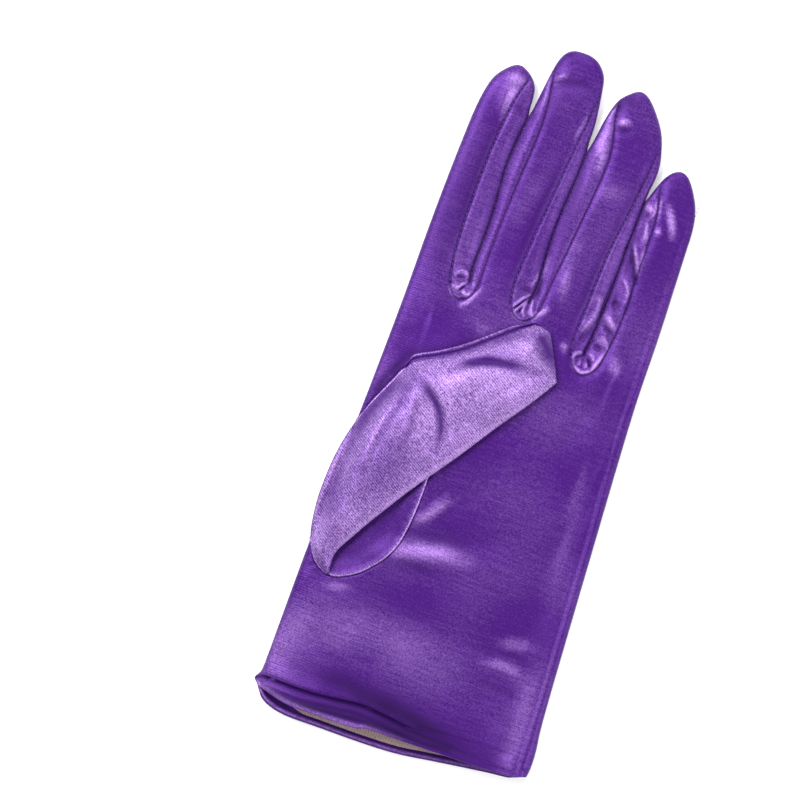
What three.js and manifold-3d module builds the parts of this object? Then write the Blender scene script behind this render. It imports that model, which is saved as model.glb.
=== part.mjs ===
// A short satin dress glove for the left hand, empty, lying palm up with its thumb folded across
// the palm. One cloth makes the palm and the back: it is folded at the index side and seamed at the
// little finger's side. A strip of cloth, the fourchette, closes the facing sides of each two
// fingers and is puckered at their crotch. X runs from the index side to the little finger's side,
// Y from the cuff to the fingertips, and Z is up.
import * as THREE from "three";
import { mergeVertices } from "three/addons/utils/BufferGeometryUtils.js";
import Module from "manifold-3d";

const wasm = await Module();
wasm.setup();

// Sizes in millimetres. Lengths along Y are measured from the palm side's hem.
const wall = 1; // one layer of cloth
const gap = 0.3; // between two pieces
const slit = 0.8; // between two fingers that lie side by side
const indexSide = 43.3; // from the middle line to the index side, at the knuckles
const littleSide = 40;
const cuffIndexSide = 46.3;
const cuffLittleSide = 47.5;
const palmLength = 147; // hem to the knuckles
const palmHemSag = 3.3; // how far the palm side's hem bows out of the straight
const backHemSag = 7.5;
const hemDepth = 7; // turned-in cloth, twice as thick
const hemRoll = 2.4; // diameter of the back's rolled edge
const edgeHeight = 2.4; // two layers of cloth at a folded or seamed edge
const cuffHeight = 10.5;
const palmHeight = 8;
const fingerHeight = 8;
const edgeRun = 17; // how far inside its edge the palm reaches its full height
const fingerRun = 8.2;
const knotDepth = 6.8; // crotch seam to the end of the slit
const knotRise = 1.3;
const fourchetteWidth = 8; // half of a strip, as it shows on the palm side
const littleDrop = 10; // knuckles down to the end of the slit beside the little finger
const indexParting = 57.5; // from the end of a slit to where its two fingers stand apart
const middleParting = 53;
const littleParting = 54;
const indexLength = 72.3; // end of the slit to the fingertip
const middleLength = 83;
const ringLength = 77.3;
const littleLength = 66.9;
const thumbHeight = 8.8; // the folded thumb alone, above the palm
const thumbEdge = 2.3;
const thumbRun = 10;
const thumbLength = 95.4; // along its fold, from the bottom of its hole to the tip
const thumbWidth = 36.8; // flat, at its widest
const thumbLean = 59; // degrees that its fold turns from the X axis
const thumbHoleLength = 75;
const thumbHoleWidth = 32;
const seamRise = 0.8; // ridge of the thumb's seam above the palm
const tapeWidth = 7;
const tapeThickness = 0.8;

const palmWidth = indexSide + littleSide;

// How far apart points are set, along a fingertip, along a fourchette and its slit, and along the
// thumb.
const tipStep = 3.2;
const stripStep = 7.5;
const thumbStep = 5;
const sliver = 0.01; // smaller steps than this are smoothed away

// The glove's sides between hem and knuckles: 0 is the width at the knuckles, 1 the width at the cuff.
const sides = [
  { along: 0, index: 1.2, little: 0.95 },
  { along: 0.008, index: 1.5, little: 0.97 },
  { along: 0.026, index: 1.05, little: 1 },
  { along: 0.06, index: 0.97, little: 0.98 },
  { along: 0.11, index: 0.95, little: 0.85 },
  { along: 0.2, index: 0.92, little: 0.73 },
  { along: 0.34, index: 0.8, little: 0.57 },
  { along: 0.54, index: 0.5, little: 0.36 },
  { along: 0.75, index: 0.2, little: 0.13 },
  { along: 0.87, index: 0.07, little: 0.02 },
  { along: 1, index: 0, little: 0 },
];

// The two hems across the mouth, as shares of their sags.
const hems = [
  { across: 0, palm: -0.3, back: 0.1 },
  { across: 0.06, palm: 0.65, back: 0.7 },
  { across: 0.14, palm: 1, back: 0.98 },
  { across: 0.27, palm: 0.95, back: 1 },
  { across: 0.4, palm: 0.76, back: 1 },
  { across: 0.52, palm: 0.55, back: 0.94 },
  { across: 0.66, palm: 0.45, back: 0.75 },
  { across: 0.8, palm: 0.39, back: 0.52 },
  { across: 0.93, palm: 0.33, back: 0.29 },
  { across: 1, palm: 0.3, back: 0.16 },
];

// A web lies between two fingers. Its line runs from the end of the slit, along 0, to the parting,
// along 1, where the fingers begin to stand apart; across is a share of the palm's width. The strip
// is the fourchette's two halves.
const webs = [
  {
    name: "index_middle",
    crotch: palmLength,
    parting: indexParting,
    line: [
      { along: 0, across: 0.225 },
      { along: 0.1, across: 0.217 },
      { along: 0.3, across: 0.22 },
      { along: 0.66, across: 0.208 },
      { along: 0.85, across: 0.215 },
      { along: 1, across: 0.227 },
    ],
    strip: [
      { along: 0.07, left: 0.89, right: 0.44 },
      { along: 0.23, left: 0.97, right: 0.42 },
      { along: 0.49, left: 0.96, right: 0.53 },
      { along: 0.74, left: 0.88, right: 0.68 },
      { along: 0.96, left: 0.84, right: 0.67 },
      { along: 1.1, left: 0.7, right: 0.6 },
      { along: 1.22, left: 0.47, right: 0.46 },
      { along: 1.33, left: 0.2, right: 0.3 },
    ],
  },
  {
    name: "middle_ring",
    crotch: palmLength,
    parting: middleParting,
    line: [
      { along: 0, across: 0.476 },
      { along: 0.1, across: 0.481 },
      { along: 0.4, across: 0.471 },
      { along: 0.62, across: 0.475 },
      { along: 1, across: 0.488 },
    ],
    strip: [
      { along: 0.06, left: 0.89, right: 0.5 },
      { along: 0.21, left: 0.86, right: 0.57 },
      { along: 0.4, left: 0.7, right: 0.81 },
      { along: 0.6, left: 0.61, right: 0.9 },
      { along: 0.82, left: 0.56, right: 0.94 },
      { along: 1, left: 0.48, right: 0.94 },
      { along: 1.17, left: 0.34, right: 0.74 },
      { along: 1.36, left: 0.05, right: 0.48 },
    ],
  },
  {
    name: "ring_little",
    crotch: palmLength - littleDrop,
    parting: littleParting,
    line: [
      { along: 0, across: 0.743 },
      { along: 0.2, across: 0.754 },
      { along: 0.5, across: 0.762 },
      { along: 1, across: 0.769 },
    ],
    strip: [
      { along: 0.08, left: 0.72, right: 0.83 },
      { along: 0.28, left: 0.69, right: 0.83 },
      { along: 0.46, left: 0.7, right: 0.78 },
      { along: 0.65, left: 0.64, right: 0.75 },
      { along: 0.8, left: 0.53, right: 0.72 },
      { along: 0.95, left: 0.4, right: 0.63 },
      { along: 1.1, left: 0.29, right: 0.42 },
      { along: 1.33, left: 0.13, right: 0.4 },
    ],
  },
];

// Each finger's outline round its tip, from its index side to its little finger's side: across is a
// share of its width at the partings, and down a share of its length below the tip. The length
// starts at the web's crotch.
const fingers = [
  {
    length: indexLength,
    web: 0,
    tip: [
      { across: 0, down: 0.848 },
      { across: 0.016, down: 0.6 },
      { across: 0.053, down: 0.336 },
      { across: 0.111, down: 0.17 },
      { across: 0.212, down: 0.083 },
      { across: 0.386, down: 0.021 },
      { across: 0.582, down: 0 },
      { across: 0.778, down: 0.028 },
      { across: 0.92, down: 0.066 },
      { across: 0.974, down: 0.142 },
    ],
  },
  {
    length: middleLength,
    web: 0,
    tip: [
      { across: 0.028, down: 0.229 },
      { across: 0.066, down: 0.145 },
      { across: 0.114, down: 0.072 },
      { across: 0.199, down: 0.024 },
      { across: 0.379, down: 0.001 },
      { across: 0.592, down: 0.002 },
      { across: 0.777, down: 0.029 },
      { across: 0.891, down: 0.077 },
      { across: 0.948, down: 0.157 },
      { across: 0.99, down: 0.259 },
    ],
  },
  {
    length: ringLength,
    web: 1,
    tip: [
      { across: 0.035, down: 0.237 },
      { across: 0.083, down: 0.146 },
      { across: 0.157, down: 0.074 },
      { across: 0.288, down: 0.026 },
      { across: 0.45, down: 0 },
      { across: 0.624, down: 0.03 },
      { across: 0.777, down: 0.083 },
      { across: 0.917, down: 0.162 },
      { across: 1.004, down: 0.256 },
      { across: 1.03, down: 0.334 },
    ],
  },
  {
    length: littleLength,
    web: 2,
    tip: [
      { across: 0.074, down: 0.126 },
      { across: 0.189, down: 0.051 },
      { across: 0.384, down: 0.001 },
      { across: 0.542, down: 0.01 },
      { across: 0.7, down: 0.064 },
      { across: 0.842, down: 0.143 },
      { across: 0.92, down: 0.223 },
      { across: 0.94, down: 0.342 },
      { across: 0.963, down: 0.507 },
      { across: 0.99, down: 0.731 },
    ],
  },
];

// The thumb's hole in the palm, an egg that reaches round the index side: along is a share of its
// length from its lower end, across a share of its width from the index side.
const thumbHole = [
  { along: 0, across: 0.4 },
  { along: 0.03, across: 0.2 },
  { along: 0.12, across: 0.04 },
  { along: 0.26, across: 0 },
  { along: 0.44, across: 0.01 },
  { along: 0.62, across: 0.06 },
  { along: 0.8, across: 0.16 },
  { along: 0.94, across: 0.29 },
  { along: 1, across: 0.41 },
  { along: 0.95, across: 0.58 },
  { along: 0.8, across: 0.85 },
  { along: 0.62, across: 1 },
  { along: 0.42, across: 0.99 },
  { along: 0.25, across: 0.93 },
  { along: 0.12, across: 0.79 },
  { along: 0.04, across: 0.61 },
];

// The folded thumb's outline beyond its hole: up its seam, round its tip and back down its fold.
// Along and across are shares of its length and width from the line between the two ends of the
// fold.
const thumbOutline = {
  seam: [
    { along: 0.649, across: 1 },
    { along: 0.684, across: 0.959 },
    { along: 0.759, across: 0.823 },
    { along: 0.834, across: 0.718 },
    { along: 0.937, across: 0.625 },
    { along: 1.029, across: 0.546 },
    { along: 1.068, across: 0.512 },
  ],
  tip: [
    { along: 1.068, across: 0.512 },
    { along: 1.083, across: 0.408 },
    { along: 1.079, across: 0.307 },
    { along: 1.056, across: 0.207 },
    { along: 1.034, across: 0.117 },
    { along: 1, across: 0 },
  ],
  fold: [
    { along: 1, across: 0 },
    { along: 0.852, across: 0.017 },
    { along: 0.668, across: 0.047 },
    { along: 0.483, across: 0.077 },
    { along: 0.299, across: 0.107 },
    { along: 0.2, across: 0.112 },
    { along: 0.116, across: 0.107 },
    { along: 0.057, across: 0.096 },
    { along: 0.029, across: 0.061 },
    { along: 0.012, across: 0.015 },
  ],
};

// Folds and dents of the palm side: a soft ridge where rise is above 0. Across and long are shares
// of the palm's width, along is a share of its length, and turn is in degrees from the X axis.
const palmFolds = [
  { across: 0.45, along: 0.395, turn: 4, long: 0.3, wide: 0.06, rise: 0.14 },
  { across: 0.45, along: 0.47, turn: 12, long: 0.3, wide: 0.06, rise: -0.12 },
  { across: 0.42, along: 0.5, turn: 50, long: 0.14, wide: 0.04, rise: 0.12 },
  { across: 0.35, along: 0.17, turn: -3, long: 0.5, wide: 0.09, rise: 0.1 },
  { across: 0.8, along: 0.16, turn: 6, long: 0.2, wide: 0.04, rise: -0.08 },
  { across: 0.5, along: 0.06, turn: 0, long: 0.6, wide: 0.05, rise: -0.12 },
];

// Folds of the thumb, in shares of its width across and its length along.
const thumbFolds = [
  { across: 0.39, along: 0.625, turn: 120, long: 0.34, wide: 0.07, rise: -0.16 },
  { across: 0.46, along: 0.89, turn: 17, long: 0.36, wide: 0.07, rise: -0.16 },
];

const clamp01 = (t) => Math.min(Math.max(t, 0), 1);
const smooth = (from, to, t) => {
  const s = clamp01((t - from) / (to - from));
  return s * s * (3 - 2 * s);
};
const mix = (a, b, t) => a + (b - a) * t;

// A smooth function through the rows of a table, flat beyond its ends.
function through(rows, by, value) {
  const slope = rows.map((row, i) => {
    const before = rows[Math.max(i - 1, 0)];
    const after = rows[Math.min(i + 1, rows.length - 1)];
    return (after[value] - before[value]) / (after[by] - before[by]);
  });
  return (t) => {
    const last = rows.length - 1;
    if (t <= rows[0][by]) return rows[0][value];
    if (t >= rows[last][by]) return rows[last][value];
    const i = rows.findIndex((row) => row[by] > t) - 1;
    const span = rows[i + 1][by] - rows[i][by];
    const s = (t - rows[i][by]) / span;
    const a = rows[i][value];
    const b = rows[i + 1][value];
    const bend = (s - 1) * (s - 1) * s * span * slope[i];
    const straighten = (s - 1) * s * s * span * slope[i + 1];
    return a * (1 + 2 * s) * (1 - s) ** 2 + b * s * s * (3 - 2 * s) + bend + straighten;
  };
}

const indexFlare = through(sides, "along", "index");
const littleFlare = through(sides, "along", "little");
const leftEdge = (y) =>
  -mix(indexSide, cuffIndexSide, indexFlare(y / palmLength));
const rightEdge = (y) =>
  mix(littleSide, cuffLittleSide, littleFlare(y / palmLength));

for (const web of webs) {
  const across = through(web.line, "along", "across");
  const share = (y) => (y - web.crotch) / web.parting;
  const left = through(web.strip, "along", "left");
  const right = through(web.strip, "along", "right");
  web.top = web.crotch + web.parting;
  web.x = (y) => across(share(y)) * palmWidth - indexSide;
  web.leftSeam = (y) => web.x(y) - left(share(y)) * fourchetteWidth;
  web.rightSeam = (y) => web.x(y) + right(share(y)) * fourchetteWidth;
}

const point = (x, y) => new THREE.Vector2(x, y);
const evenly = (from, to, step) => {
  const count = Math.max(1, Math.ceil(Math.abs(to - from) / step));
  return Array.from({ length: count + 1 }, (_, i) => mix(from, to, i / count));
};

// A smooth line through plan points, with a point about every step millimetres.
function curve(points, step, closed = false) {
  const line = new THREE.CatmullRomCurve3(
    points.map((p) => new THREE.Vector3(p.x, p.y, 0)),
    closed,
    "centripetal",
  );
  const spaced = line.getSpacedPoints(Math.ceil(line.getLength() / step));
  if (closed) spaced.pop();
  return spaced.map((p) => point(p.x, p.y));
}

// The finger's outline round its tip, between its two partings.
function fingertip(finger, i) {
  const tipY = webs[finger.web].crotch + finger.length;
  const left = i ? webs[i - 1].x(webs[i - 1].top) + slit / 2 : -indexSide;
  const right = i < 3 ? webs[i].x(webs[i].top) - slit / 2 : littleSide;
  const rows = finger.tip.map(({ across, down }) =>
    point(mix(left, right, across), tipY - down * finger.length),
  );
  if (i) rows.unshift(point(left, webs[i - 1].top));
  if (i < 3) rows.push(point(right, webs[i].top));
  return curve(rows, tipStep);
}

// Both sides of the slit between two fingers, down the left finger and up the right one.
function slitOutline(web) {
  const ys = evenly(web.top, web.crotch, stripStep).slice(1);
  const down = ys.map((y) => point(web.x(y) - slit / 2, y));
  const bottom = point(web.x(web.crotch), web.crotch - slit / 2);
  const up = ys.reverse().map((y) => point(web.x(y) + slit / 2, y));
  return [...down, bottom, ...up];
}

// The glove's outline from the index side of its mouth, round the fingers, to the other side of the
// mouth.
const sideYs = sides.slice(0, -1).map((row) => row.along * palmLength);
const outline = [
  ...sideYs.map((y) => point(leftEdge(y), y)),
  ...fingers.flatMap((finger, i) => [
    ...fingertip(finger, i),
    ...(i < 3 ? slitOutline(webs[i]) : []),
  ]),
  ...sideYs.map((y) => point(rightEdge(y), y)).reverse(),
];

const cuffWidth = rightEdge(0) - leftEdge(0);
const hemLine = (side, sag) => {
  const share = through(hems, "across", side);
  return (x) => -sag * share((x - leftEdge(0)) / cuffWidth);
};
const palmHem = hemLine("palm", palmHemSag);
const backHem = hemLine("back", backHemSag);

// Moves each point of a line sideways, to its right for a positive distance.
function beside(line, distance, closed = false) {
  return line.map((p, i) => {
    const at = (k) =>
      closed
        ? line[(k + line.length) % line.length]
        : line[Math.min(Math.max(k, 0), line.length - 1)];
    const before = p.clone().sub(at(i - 1));
    const after = at(i + 1).clone().sub(p);
    const way = before.normalize().add(after.normalize()).normalize();
    return point(p.x + way.y * distance, p.y - way.x * distance);
  });
}

function distanceTo(line, closed = false) {
  const ends = closed ? [...line.slice(1), line[0]] : line.slice(1);
  return (x, y) => {
    let best = Infinity;
    ends.forEach((b, i) => {
      const a = line[i];
      const dx = b.x - a.x;
      const dy = b.y - a.y;
      const t = clamp01(((x - a.x) * dx + (y - a.y) * dy) / (dx * dx + dy * dy));
      best = Math.min(best, Math.hypot(x - a.x - dx * t, y - a.y - dy * t));
    });
    return best;
  };
}

function isInside(loop, x, y) {
  let inside = false;
  loop.forEach((a, i) => {
    const b = loop[(i + 1) % loop.length];
    if (a.y > y !== b.y > y && x < a.x + ((b.x - a.x) * (y - a.y)) / (b.y - a.y))
      inside = !inside;
  });
  return inside;
}

// The rounded rise of cloth from an edge to its full height.
const crown = (distance, run) => 1 - (1 - clamp01(distance / run)) ** 2;

function foldHeight(folds, place, size) {
  return (x, y) =>
    folds.reduce((sum, fold) => {
      const centre = place(fold);
      const turn = THREE.MathUtils.degToRad(fold.turn);
      const dx = x - centre.x;
      const dy = y - centre.y;
      const long = (dx * Math.cos(turn) + dy * Math.sin(turn)) / (fold.long * size);
      const wide = (dy * Math.cos(turn) - dx * Math.sin(turn)) / (fold.wide * size);
      return sum + fold.rise * Math.exp(-(long * long + wide * wide));
    }, 0);
}

const palmFold = foldHeight(
  palmFolds,
  (fold) => point(fold.across * palmWidth - indexSide, fold.along * palmLength),
  palmWidth,
);
const outlineDistance = distanceTo(outline);
const onPlan = (x, y) => y < palmLength * 0.2 || isInside(outline, x, y);

// Height of the palm side's outer face above the table.
function palmTop(x, y) {
  const towardsFingers = smooth(0.78, 1.02, y / palmLength);
  const run = mix(edgeRun, fingerRun, towardsFingers);
  const towardsCuff = smooth(0.16, 0, y / palmLength);
  const full = mix(mix(palmHeight, cuffHeight, towardsCuff), fingerHeight, towardsFingers);
  const outside = x < leftEdge(y) || x > rightEdge(y) || !onPlan(x, y);
  const rise = outside ? 0 : crown(outlineDistance(x, y), run);
  const knots = webs.reduce((sum, web) => {
    const dx = (x - web.x(web.crotch)) / fourchetteWidth;
    const dy = (y - web.crotch + knotDepth / 3) / knotDepth;
    return sum + knotRise * Math.exp(-(dx * dx * 3 + dy * dy * 1.6));
  }, 0);
  const hemCrease = Math.exp(-(((y - hemDepth * 0.55) / (hemDepth * 0.25)) ** 2));
  const fold = palmFold(x, y) * palmHeight - hemCrease * wall * 0.6;
  return edgeHeight + (full - edgeHeight) * rise + (knots + fold) * clamp01(rise * 2);
}

// The inner face lies a wall's thickness inside a sloping outer face, or two in the hem.
function insideOf(top, layers) {
  const step = 0.5;
  return (x, y) => {
    const z = top(x, y);
    const slopeX = (top(x + step, y) - top(x - step, y)) / (2 * step);
    const slopeY = (top(x, y + step) - top(x, y - step)) / (2 * step);
    const slant = Math.min(Math.hypot(1, slopeX, slopeY), 1.4);
    return z - wall * layers(x, y) * slant;
  };
}
const hemLayers = (x, y) => 1 + smooth(hemDepth * 0.75, hemDepth * 0.5, y);
const palmInside = insideOf(palmTop, hemLayers);

function solidOf(geometry) {
  geometry.deleteAttribute("normal");
  geometry.deleteAttribute("uv");
  const merged = mergeVertices(geometry, 1e-4);
  return new wasm.Manifold(
    new wasm.Mesh({
      numProp: 3,
      vertProperties: new Float32Array(merged.attributes.position.array),
      triVerts: new Uint32Array(merged.index.array),
    }),
  );
}

function prism(loop, low, high) {
  const made = new THREE.ExtrudeGeometry(new THREE.Shape(loop), {
    depth: high - low,
    steps: 1,
    bevelEnabled: false,
  });
  return solidOf(made.translate(0, 0, low));
}

// The solid between two heights over a grid of plan points, given as rows from left to right.
function slab(grid, low, high) {
  const columns = grid[0].length;
  const count = grid.length * columns;
  const at = (j, i) => j * columns + i;
  const faces = [];
  const quad = (a, b, c, d) => faces.push(a, b, c, a, c, d);
  for (let j = 0; j + 1 < grid.length; j++)
    for (let i = 0; i + 1 < columns; i++) {
      const corners = [at(j, i), at(j, i + 1), at(j + 1, i + 1), at(j + 1, i)];
      quad(...corners);
      quad(...corners.map((k) => k + count).reverse());
    }
  const rim = [
    ...grid[0].map((_, i) => at(0, i)),
    ...grid.slice(1).map((_, j) => at(j + 1, columns - 1)),
    ...grid[0].slice(1).map((_, i) => at(grid.length - 1, columns - 2 - i)),
    ...grid.slice(2).map((_, j) => at(grid.length - 2 - j, 0)),
  ];
  rim.forEach((a, k) => {
    const b = rim[(k + 1) % rim.length];
    quad(a, a + count, b + count, b);
  });
  const points = grid.flat();
  const vertices = [
    ...points.flatMap((p) => [p.x, p.y, high(p.x, p.y)]),
    ...points.flatMap((p) => [p.x, p.y, low(p.x, p.y)]),
  ];
  return new wasm.Manifold(
    new wasm.Mesh({
      numProp: 3,
      vertProperties: new Float32Array(vertices),
      triVerts: new Uint32Array(faces),
    }),
  );
}

// The glove's grid: columns follow the webs, and rows are close at the hem, the crotches and the tips.
const margin = 5;
const laneShares = [0, 0.12, 0.3, 0.5, 0.7, 0.88];
const tipYs = fingers.map((finger) => webs[finger.web].crotch + finger.length);
const farTip = Math.max(...tipYs) + margin;
const nearTip = Math.min(...tipYs) - 15;
const lowCrotch = Math.min(...webs.map((web) => web.crotch)) - 14;
const highCrotch = Math.max(...webs.map((web) => web.crotch)) + 4;
const rowYs = [
  ...evenly(-backHemSag - margin, hemDepth * 1.2, 3),
  ...evenly(hemDepth * 1.2, lowCrotch, 11).slice(1),
  ...evenly(lowCrotch, highCrotch, 4.4).slice(1),
  ...evenly(highCrotch, nearTip, 10).slice(1),
  ...evenly(nearTip, farTip, 4.2).slice(1),
];
const gloveGrid = rowYs.map((y) => {
  const left = leftEdge(Math.max(y, 0));
  const right = rightEdge(Math.max(y, 0));
  const lines = [left, ...webs.map((web) => web.x(y)), right];
  const xs = lines.slice(1).flatMap((end, i) =>
    laneShares.map((share) => mix(lines[i], end, share)),
  );
  return [left - margin, ...xs, right, right + margin].map((x) => point(x, y));
});

const floor = () => -margin;
const tall = 60;
const backLayer = wall * 1.4; // height of what is left of the edge where only the back's cloth lies
const lowered = (height, by) => (x, y) => height(x, y) - by;
const raised = (height, by) => (x, y) => height(x, y) + by;

// The whole glove without its thumb, before it is parted into cloth and fourchettes.
const hemSteps = evenly(0, 1, 0.04).map((t) => mix(leftEdge(0), rightEdge(0), t));
const backHemLine = hemSteps.map((x) => point(x, backHem(x))).reverse();
const outerLoop = [...outline.slice(1, -1), ...backHemLine];
const innerChain = beside(outline, wall);
const mouthY = -backHemSag - 2 * margin;
const innerLoop = [
  point(innerChain[0].x, mouthY),
  ...innerChain,
  point(innerChain.at(-1).x, mouthY),
];
const outerBag = prism(outerLoop, 0, tall).intersect(slab(gloveGrid, floor, palmTop));
const innerBag = prism(innerLoop, wall, tall).intersect(
  slab(gloveGrid, floor, palmInside),
);
const palmHemLoop = [
  point(leftEdge(0) - margin, mouthY),
  point(leftEdge(0) - margin, palmHem(leftEdge(0))),
  ...hemSteps.map((x) => point(x, palmHem(x))),
  point(rightEdge(0) + margin, palmHem(rightEdge(0))),
  point(rightEdge(0) + margin, mouthY),
];
const palmHemCut = prism(palmHemLoop, backLayer, tall);

// The rolled edge of the back, along the mouth.
function rollAlong(line) {
  const path = new THREE.CatmullRomCurve3(
    line.map((p) => new THREE.Vector3(p.x, p.y + hemRoll / 2, hemRoll / 2)),
  );
  const section = new THREE.Shape();
  section.absarc(0, 0, hemRoll / 2, 0, Math.PI * 2);
  return solidOf(
    new THREE.ExtrudeGeometry(section, {
      steps: 24,
      curveSegments: 5,
      bevelEnabled: false,
      extrudePath: path,
    }),
  );
}
const backRoll = rollAlong(backHemLine.slice(1, -1));
const shell = outerBag.subtract(innerBag).subtract(palmHemCut).add(backRoll);

// The strip of a fourchette in plan: a long U round the crotch, out to both fingertips.
function stripLoop(web, grow) {
  const last = web.strip.at(-1).along;
  const first = web.strip[0].along;
  const ys = evenly(
    web.crotch + first * web.parting,
    web.crotch + last * web.parting,
    stripStep,
  );
  const left = ys.map((y) => point(web.leftSeam(y) - grow, y)).reverse();
  const right = ys.map((y) => point(web.rightSeam(y) + grow, y));
  const from = left.at(-1);
  const to = right[0];
  const depth = from.y - web.crotch + knotDepth + grow;
  const bottom = evenly(Math.PI, 2 * Math.PI, Math.PI / 8).slice(1, -1).map((angle) =>
    point(
      (from.x + to.x) / 2 + (Math.cos(angle) * (to.x - from.x)) / 2,
      from.y + Math.sin(angle) * depth,
    ),
  );
  return [...left, ...bottom, ...right];
}

// The thumb's hole, its fold and the outline of the folded thumb.
const holeStart = point(-indexSide - 4.6, palmLength * 0.279);
const holeLoop = curve(
  thumbHole.map(({ along, across }) =>
    point(holeStart.x + across * thumbHoleWidth, holeStart.y + along * thumbHoleLength),
  ),
  thumbStep * 0.8,
  true,
);
const foldWay = new THREE.Vector2(1, 0).rotateAround(
  point(0, 0),
  THREE.MathUtils.degToRad(thumbLean),
);
const foldStart = point(
  holeStart.x + thumbHoleWidth * 0.363,
  holeStart.y + thumbHoleLength * 0.033,
);
const alongThumb = (along, across) =>
  point(
    foldStart.x + foldWay.x * along * thumbLength - foldWay.y * across * thumbWidth,
    foldStart.y + foldWay.y * along * thumbLength + foldWay.x * across * thumbWidth,
  );
const collarLoop = beside(holeLoop, gap, true);
const collarInside = beside(holeLoop, gap + wall, true);
const thumbTip = Object.values(thumbOutline).flatMap((edge) =>
  curve(
    edge.map(({ along, across }) => alongThumb(along, across)),
    thumbStep,
  ).slice(1),
);
const hang = collarLoop.filter((p) => p.y < thumbTip[0].y - 2 && p.x < foldStart.x);
const thumbLoop = [...hang, ...thumbTip];

const thumbDistance = distanceTo(thumbLoop, true);
const thumbFold = foldHeight(
  thumbFolds,
  (fold) => alongThumb(fold.along, fold.across),
  thumbWidth,
);
const thumbBottom = (x, y) => palmTop(x, y) + gap + 0.1;
const thumbTop = (x, y) => {
  const rise = isInside(thumbLoop, x, y) ? crown(thumbDistance(x, y), thumbRun) : 0;
  const body = mix(thumbEdge, thumbHeight, rise);
  return thumbBottom(x, y) + body + thumbFold(x, y) * thumbHeight * rise;
};
const thumbCeiling = insideOf(thumbTop, () => 1);
const seamTop = (x, y) => palmTop(x, y) + seamRise;

const thumbGrid = evenly(holeStart.y - margin, alongThumb(1.1, 0.5).y + margin, 5.5).map(
  (y) =>
    evenly(holeStart.x - margin, alongThumb(1, 0).x + margin, 5.5).map((x) => point(x, y)),
);

function makeThumb() {
  const seamBottom = (x, y) => Math.max(palmInside(x, y), backLayer + gap);
  const collar = prism(collarLoop, 0, tall).intersect(
    slab(thumbGrid, seamBottom, seamTop),
  );
  const bag = prism(thumbLoop, 0, tall)
    .intersect(slab(thumbGrid, floor, thumbTop))
    .subtract(slab(gloveGrid, floor, raised(palmTop, gap)));
  const bagInside = prism(beside(thumbLoop, wall, true), 0, tall);
  const baseInside = prism(collarInside, 0, tall);
  const hollow = bagInside.intersect(
    slab(thumbGrid, raised(thumbBottom, wall), thumbCeiling),
  );
  const under = baseInside.intersect(slab(thumbGrid, floor, lowered(seamTop, wall)));
  const way = baseInside
    .intersect(bagInside)
    .intersect(slab(thumbGrid, floor, thumbCeiling));
  return collar.add(bag).subtract(hollow).subtract(under).subtract(way);
}

// The tape that faces the back's hem, seen in the open mouth.
function makeTape() {
  const xs = evenly(0.12, 0.9, 0.04).map((t) => mix(leftEdge(0), rightEdge(0), t));
  const near = xs.map((x) => point(x, backHem(x) + hemRoll + gap));
  const far = xs.map((x) => point(x, backHem(x) + hemRoll + gap + tapeWidth)).reverse();
  return prism([...near, ...far], wall + gap, wall + gap + tapeThickness);
}

const satin = new THREE.MeshStandardMaterial({ color: 0x5c2f96, roughness: 0.35 });
const lightSatin = new THREE.MeshStandardMaterial({ color: 0x9a6fc8, roughness: 0.35 });
const tan = new THREE.MeshStandardMaterial({ color: 0x917a86, roughness: 0.8 });

// The mesh of a solid, without the slivers that its cuts leave.
function meshOf(name, solid, material) {
  const { vertProperties, triVerts, numProp } = solid.simplify(sliver).getMesh();
  const positions = new Float32Array((vertProperties.length / numProp) * 3);
  for (let i = 0; i < positions.length / 3; i++)
    positions.set(vertProperties.subarray(i * numProp, i * numProp + 3), i * 3);
  const geometry = new THREE.BufferGeometry();
  geometry.setAttribute("position", new THREE.BufferAttribute(positions, 3));
  geometry.setIndex(new THREE.BufferAttribute(triVerts, 1));
  geometry.computeVertexNormals();
  const mesh = new THREE.Mesh(geometry, material);
  mesh.name = name;
  return mesh;
}

const glove = new THREE.Group();
let trank = shell;
for (const web of webs) {
  const strip = shell.intersect(prism(stripLoop(web, -gap / 2), -margin, tall));
  glove.add(meshOf(`fourchette_${web.name}`, strip, satin));
  trank = trank.subtract(prism(stripLoop(web, gap / 2), -margin, tall));
}
trank = trank.subtract(prism(holeLoop, backLayer, tall));
glove.add(meshOf("trank", trank, satin));
glove.add(meshOf("thumb", makeThumb(), lightSatin));
glove.add(meshOf("hem_tape", makeTape(), tan));

// The origin is on the table, under the middle of the glove.
const box = new THREE.Box3().setFromObject(glove);
const middle = box.getCenter(new THREE.Vector3());
glove.position.set(-middle.x, -middle.y, -box.min.z);
glove.updateMatrixWorld(true);

export default glove;
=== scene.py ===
import math

import bpy
import numpy as np
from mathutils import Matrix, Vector
from mathutils.geometry import delaunay_2d_cdt
from mathutils.kdtree import KDTree


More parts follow.
